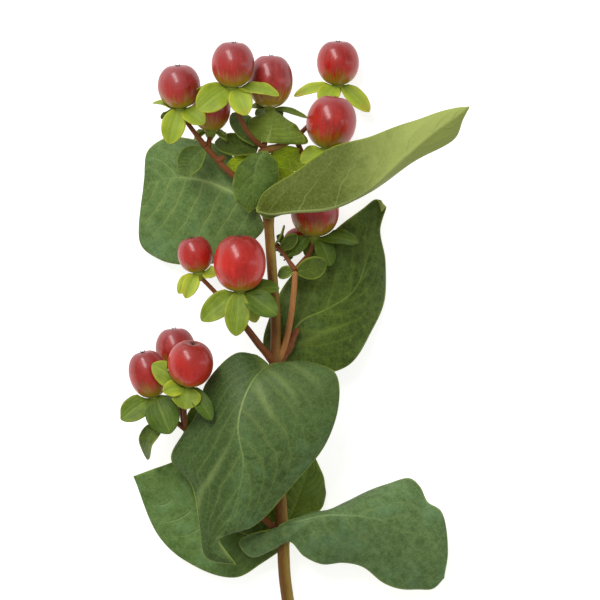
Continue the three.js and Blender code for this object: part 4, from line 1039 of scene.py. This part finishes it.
# Narrow ones: width, arch, base, tip, the side they face, and finish.
YOUNG_LEAVES = [
    ("top_left", 7, 1, (-10.2, 60, 19.3), (-22, 62.5, 13.5), (0, 0.4, 1), "young_dark"),
    ("top_blue", 6.8, 0.6, (-10, 61.8, 21), (-17.2, 70.6, 15), (0.2, 0.2, 1), "young"),
    ("top_right", 8, 0.8, (-6, 59.8, 20), (3.3, 56.6, 12.4), (0, -0.3, 1), "bright"),
    ("top_low", 5.4, 0.4, (-6.8, 54.6, 20), (1.2, 51.2, 12.4), (0, -0.2, 1), "bright"),
    ("side_left", 8, 1.2, (-25, 60.6, 20.6), (-31.6, 53.4, 17), (-0.3, 0.3, 1), "young"),
    ("side_low", 4.4, 0.5, (-11.4, 59.8, 17.4), (-19, 54.2, 17), (0, -0.2, 1), "bright"),
    ("fork_left", 4, 0.4, (0.1, 26.5, 18.4), (-4.4, 25, 16.5), (0, 0.5, 1), "young_dark"),
    ("fork_right", 6.6, 0.8, (1, 26.4, 18.4), (9.3, 28.5, 16.5), (0, -0.3, 1), "young_dark"),
    ("prong_up", 3, 0.3, (-4.9, 34, 15.2), (-2.6, 39.2, 17.4), (1, 0.5, 0.4), "young_dark"),
    ("prong_right", 4, 0.3, (-3.5, 32.5, 14.2), (1, 36.6, 13.8), (0, -0.3, 1), "young_dark"),
    ("low_point", 6.4, 3.6, (-35.4, -15.4, 13.2), (-41, -26.6, 10), (-0.65, 0.25, 0.75), "young_dark"),
    ("low_back", 4.6, 0.5, (-29.2, -18.2, 12), (-25.8, -10.6, 9.8), (0, 0, 1), "young_dark"),
]
YOUNG_LEAF_GRID = (44, 25)
YOUNG_LEAF_CUP = 0.15
YOUNG_LEAF_RIPPLE = 0.025
YOUNG_LEAF_SLOPE = 0.2
BROAD_LEAF_SEED = 0.5
YOUNG_LEAF_SEED_STEP = 0.41
YOUNG_LEAF_HALF_THICKNESS = 0.2
YOUNG_RIB_RIDGE = 0.2
YOUNG_RIB_GROOVE = 0.08
YOUNG_RIB_WIDTH = 0.5

for order, (name, leaf) in enumerate(BROAD_YOUNG_LEAVES.items()):
    show(leaf_mesh(leaf, YOUNG_LEAF_GRID, BROAD_LEAF_SEED + order), f"small_leaf_{name}")
for order, (name, width, arch, base, tip, face, finish) in enumerate(YOUNG_LEAVES):
    middle, looks = blade(base, tip, width, face, arch, YOUNG_LEAF_CUP, YOUNG_LEAF_GRID, 0.0,
                          YOUNG_LEAF_RIPPLE * width, order)
    share = np.abs(looks["across"])
    looks.update(inward=width / 2 * share, length=math.dist(base, tip), seed=YOUNG_LEAF_SEED_STEP * order,
                 slope=YOUNG_LEAF_SLOPE, crease=0.0)
    rib_form = hump(looks["inward"], YOUNG_RIB_WIDTH) * (1 - looks["along"]) ** 0.5
    half = YOUNG_LEAF_HALF_THICKNESS * (1 - 0.5 * share ** 4)
    part = thin_blade(middle, half - YOUNG_RIB_GROOVE * rib_form, half + YOUNG_RIB_RIDGE * rib_form, looks)
    show(joined_mesh([part], leaf_skins[finish]), f"small_leaf_{name}")


# ---------------------------------------------------------------------------------------
# The studio: a plain pale surface under the stem, a bright even sky, one soft lamp above the
# top left and a faint one low on the right. The camera looks straight down from far off.
# Surface, lamps and the camera's height in metres.
FLOOR_HALF = 1.5
FLOOR_DROP = 0.0004
CAMERA_HEIGHT = 3.0
# The middle of the view, its width, and the level at which it is that wide, in millimetres.
CAMERA_SPOT = (1.82, 18.2)
VIEW_WIDTH = 168.0
VIEW_LEVEL = 20.0
SENSOR = 36.0

floor_mesh = bpy.data.meshes.new("pale_floor")
corners = [(x * FLOOR_HALF, y * FLOOR_HALF, -FLOOR_DROP) for x, y in ((-1, -1), (1, -1), (1, 1), (-1, 1))]
floor_mesh.from_pydata(corners, [], [(0, 1, 2, 3)])
floor_finish, wire = new_material("pale_floor")
surface(wire, {
    "Base Color": wire.place().noise(40.0).blend((0.60, 0.60, 0.60), (0.62, 0.62, 0.62)),
    "Roughness": 0.9,
    "Specular IOR Level": 0.1,
    "Emission Color": (1, 1, 1, 1),
    "Emission Strength": 0.72,
})
floor_mesh.materials.append(floor_finish)
floor = bpy.data.objects.new("pale_floor", floor_mesh)
bpy.context.scene.collection.objects.link(floor)

world = bpy.data.worlds.new("even_sky")
world.use_nodes = True
sky = world.node_tree.nodes["Background"].inputs
sky["Color"].default_value = (1, 1, 1, 1)
sky["Strength"].default_value = 0.53
bpy.context.scene.world = world


def soft_lamp(name, direction, distance, size, power):
    lamp = bpy.data.lights.new(name, "AREA")
    lamp.shape = "RECTANGLE"
    lamp.size, lamp.size_y = size
    lamp.energy = power
    holder = bpy.data.objects.new(name, lamp)
    away = Vector(direction).normalized()
    holder.location = away * distance
    holder.rotation_euler = away.to_track_quat("Z", "Y").to_euler()
    bpy.context.scene.collection.objects.link(holder)


soft_lamp("key_lamp", (-0.36, 0.62, 0.66), 1.6, (0.46, 1.7), 26)
soft_lamp("right_fill", (0.9, 0.0, 0.35), 2.0, (0.4, 1.6), 3)

lens = bpy.data.cameras.new("camera")
lens.sensor_width = SENSOR
lens.lens = SENSOR * (CAMERA_HEIGHT / MM - VIEW_LEVEL) / VIEW_WIDTH
lens.clip_start = 0.01
lens.clip_end = 50
camera = bpy.data.objects.new("camera", lens)
camera.location = (CAMERA_SPOT[0] * MM, CAMERA_SPOT[1] * MM, CAMERA_HEIGHT)
bpy.context.scene.collection.objects.link(camera)
bpy.context.scene.camera = camera
bpy.context.scene.view_settings.view_transform = "Standard"
bpy.context.scene.view_settings.look = "None"
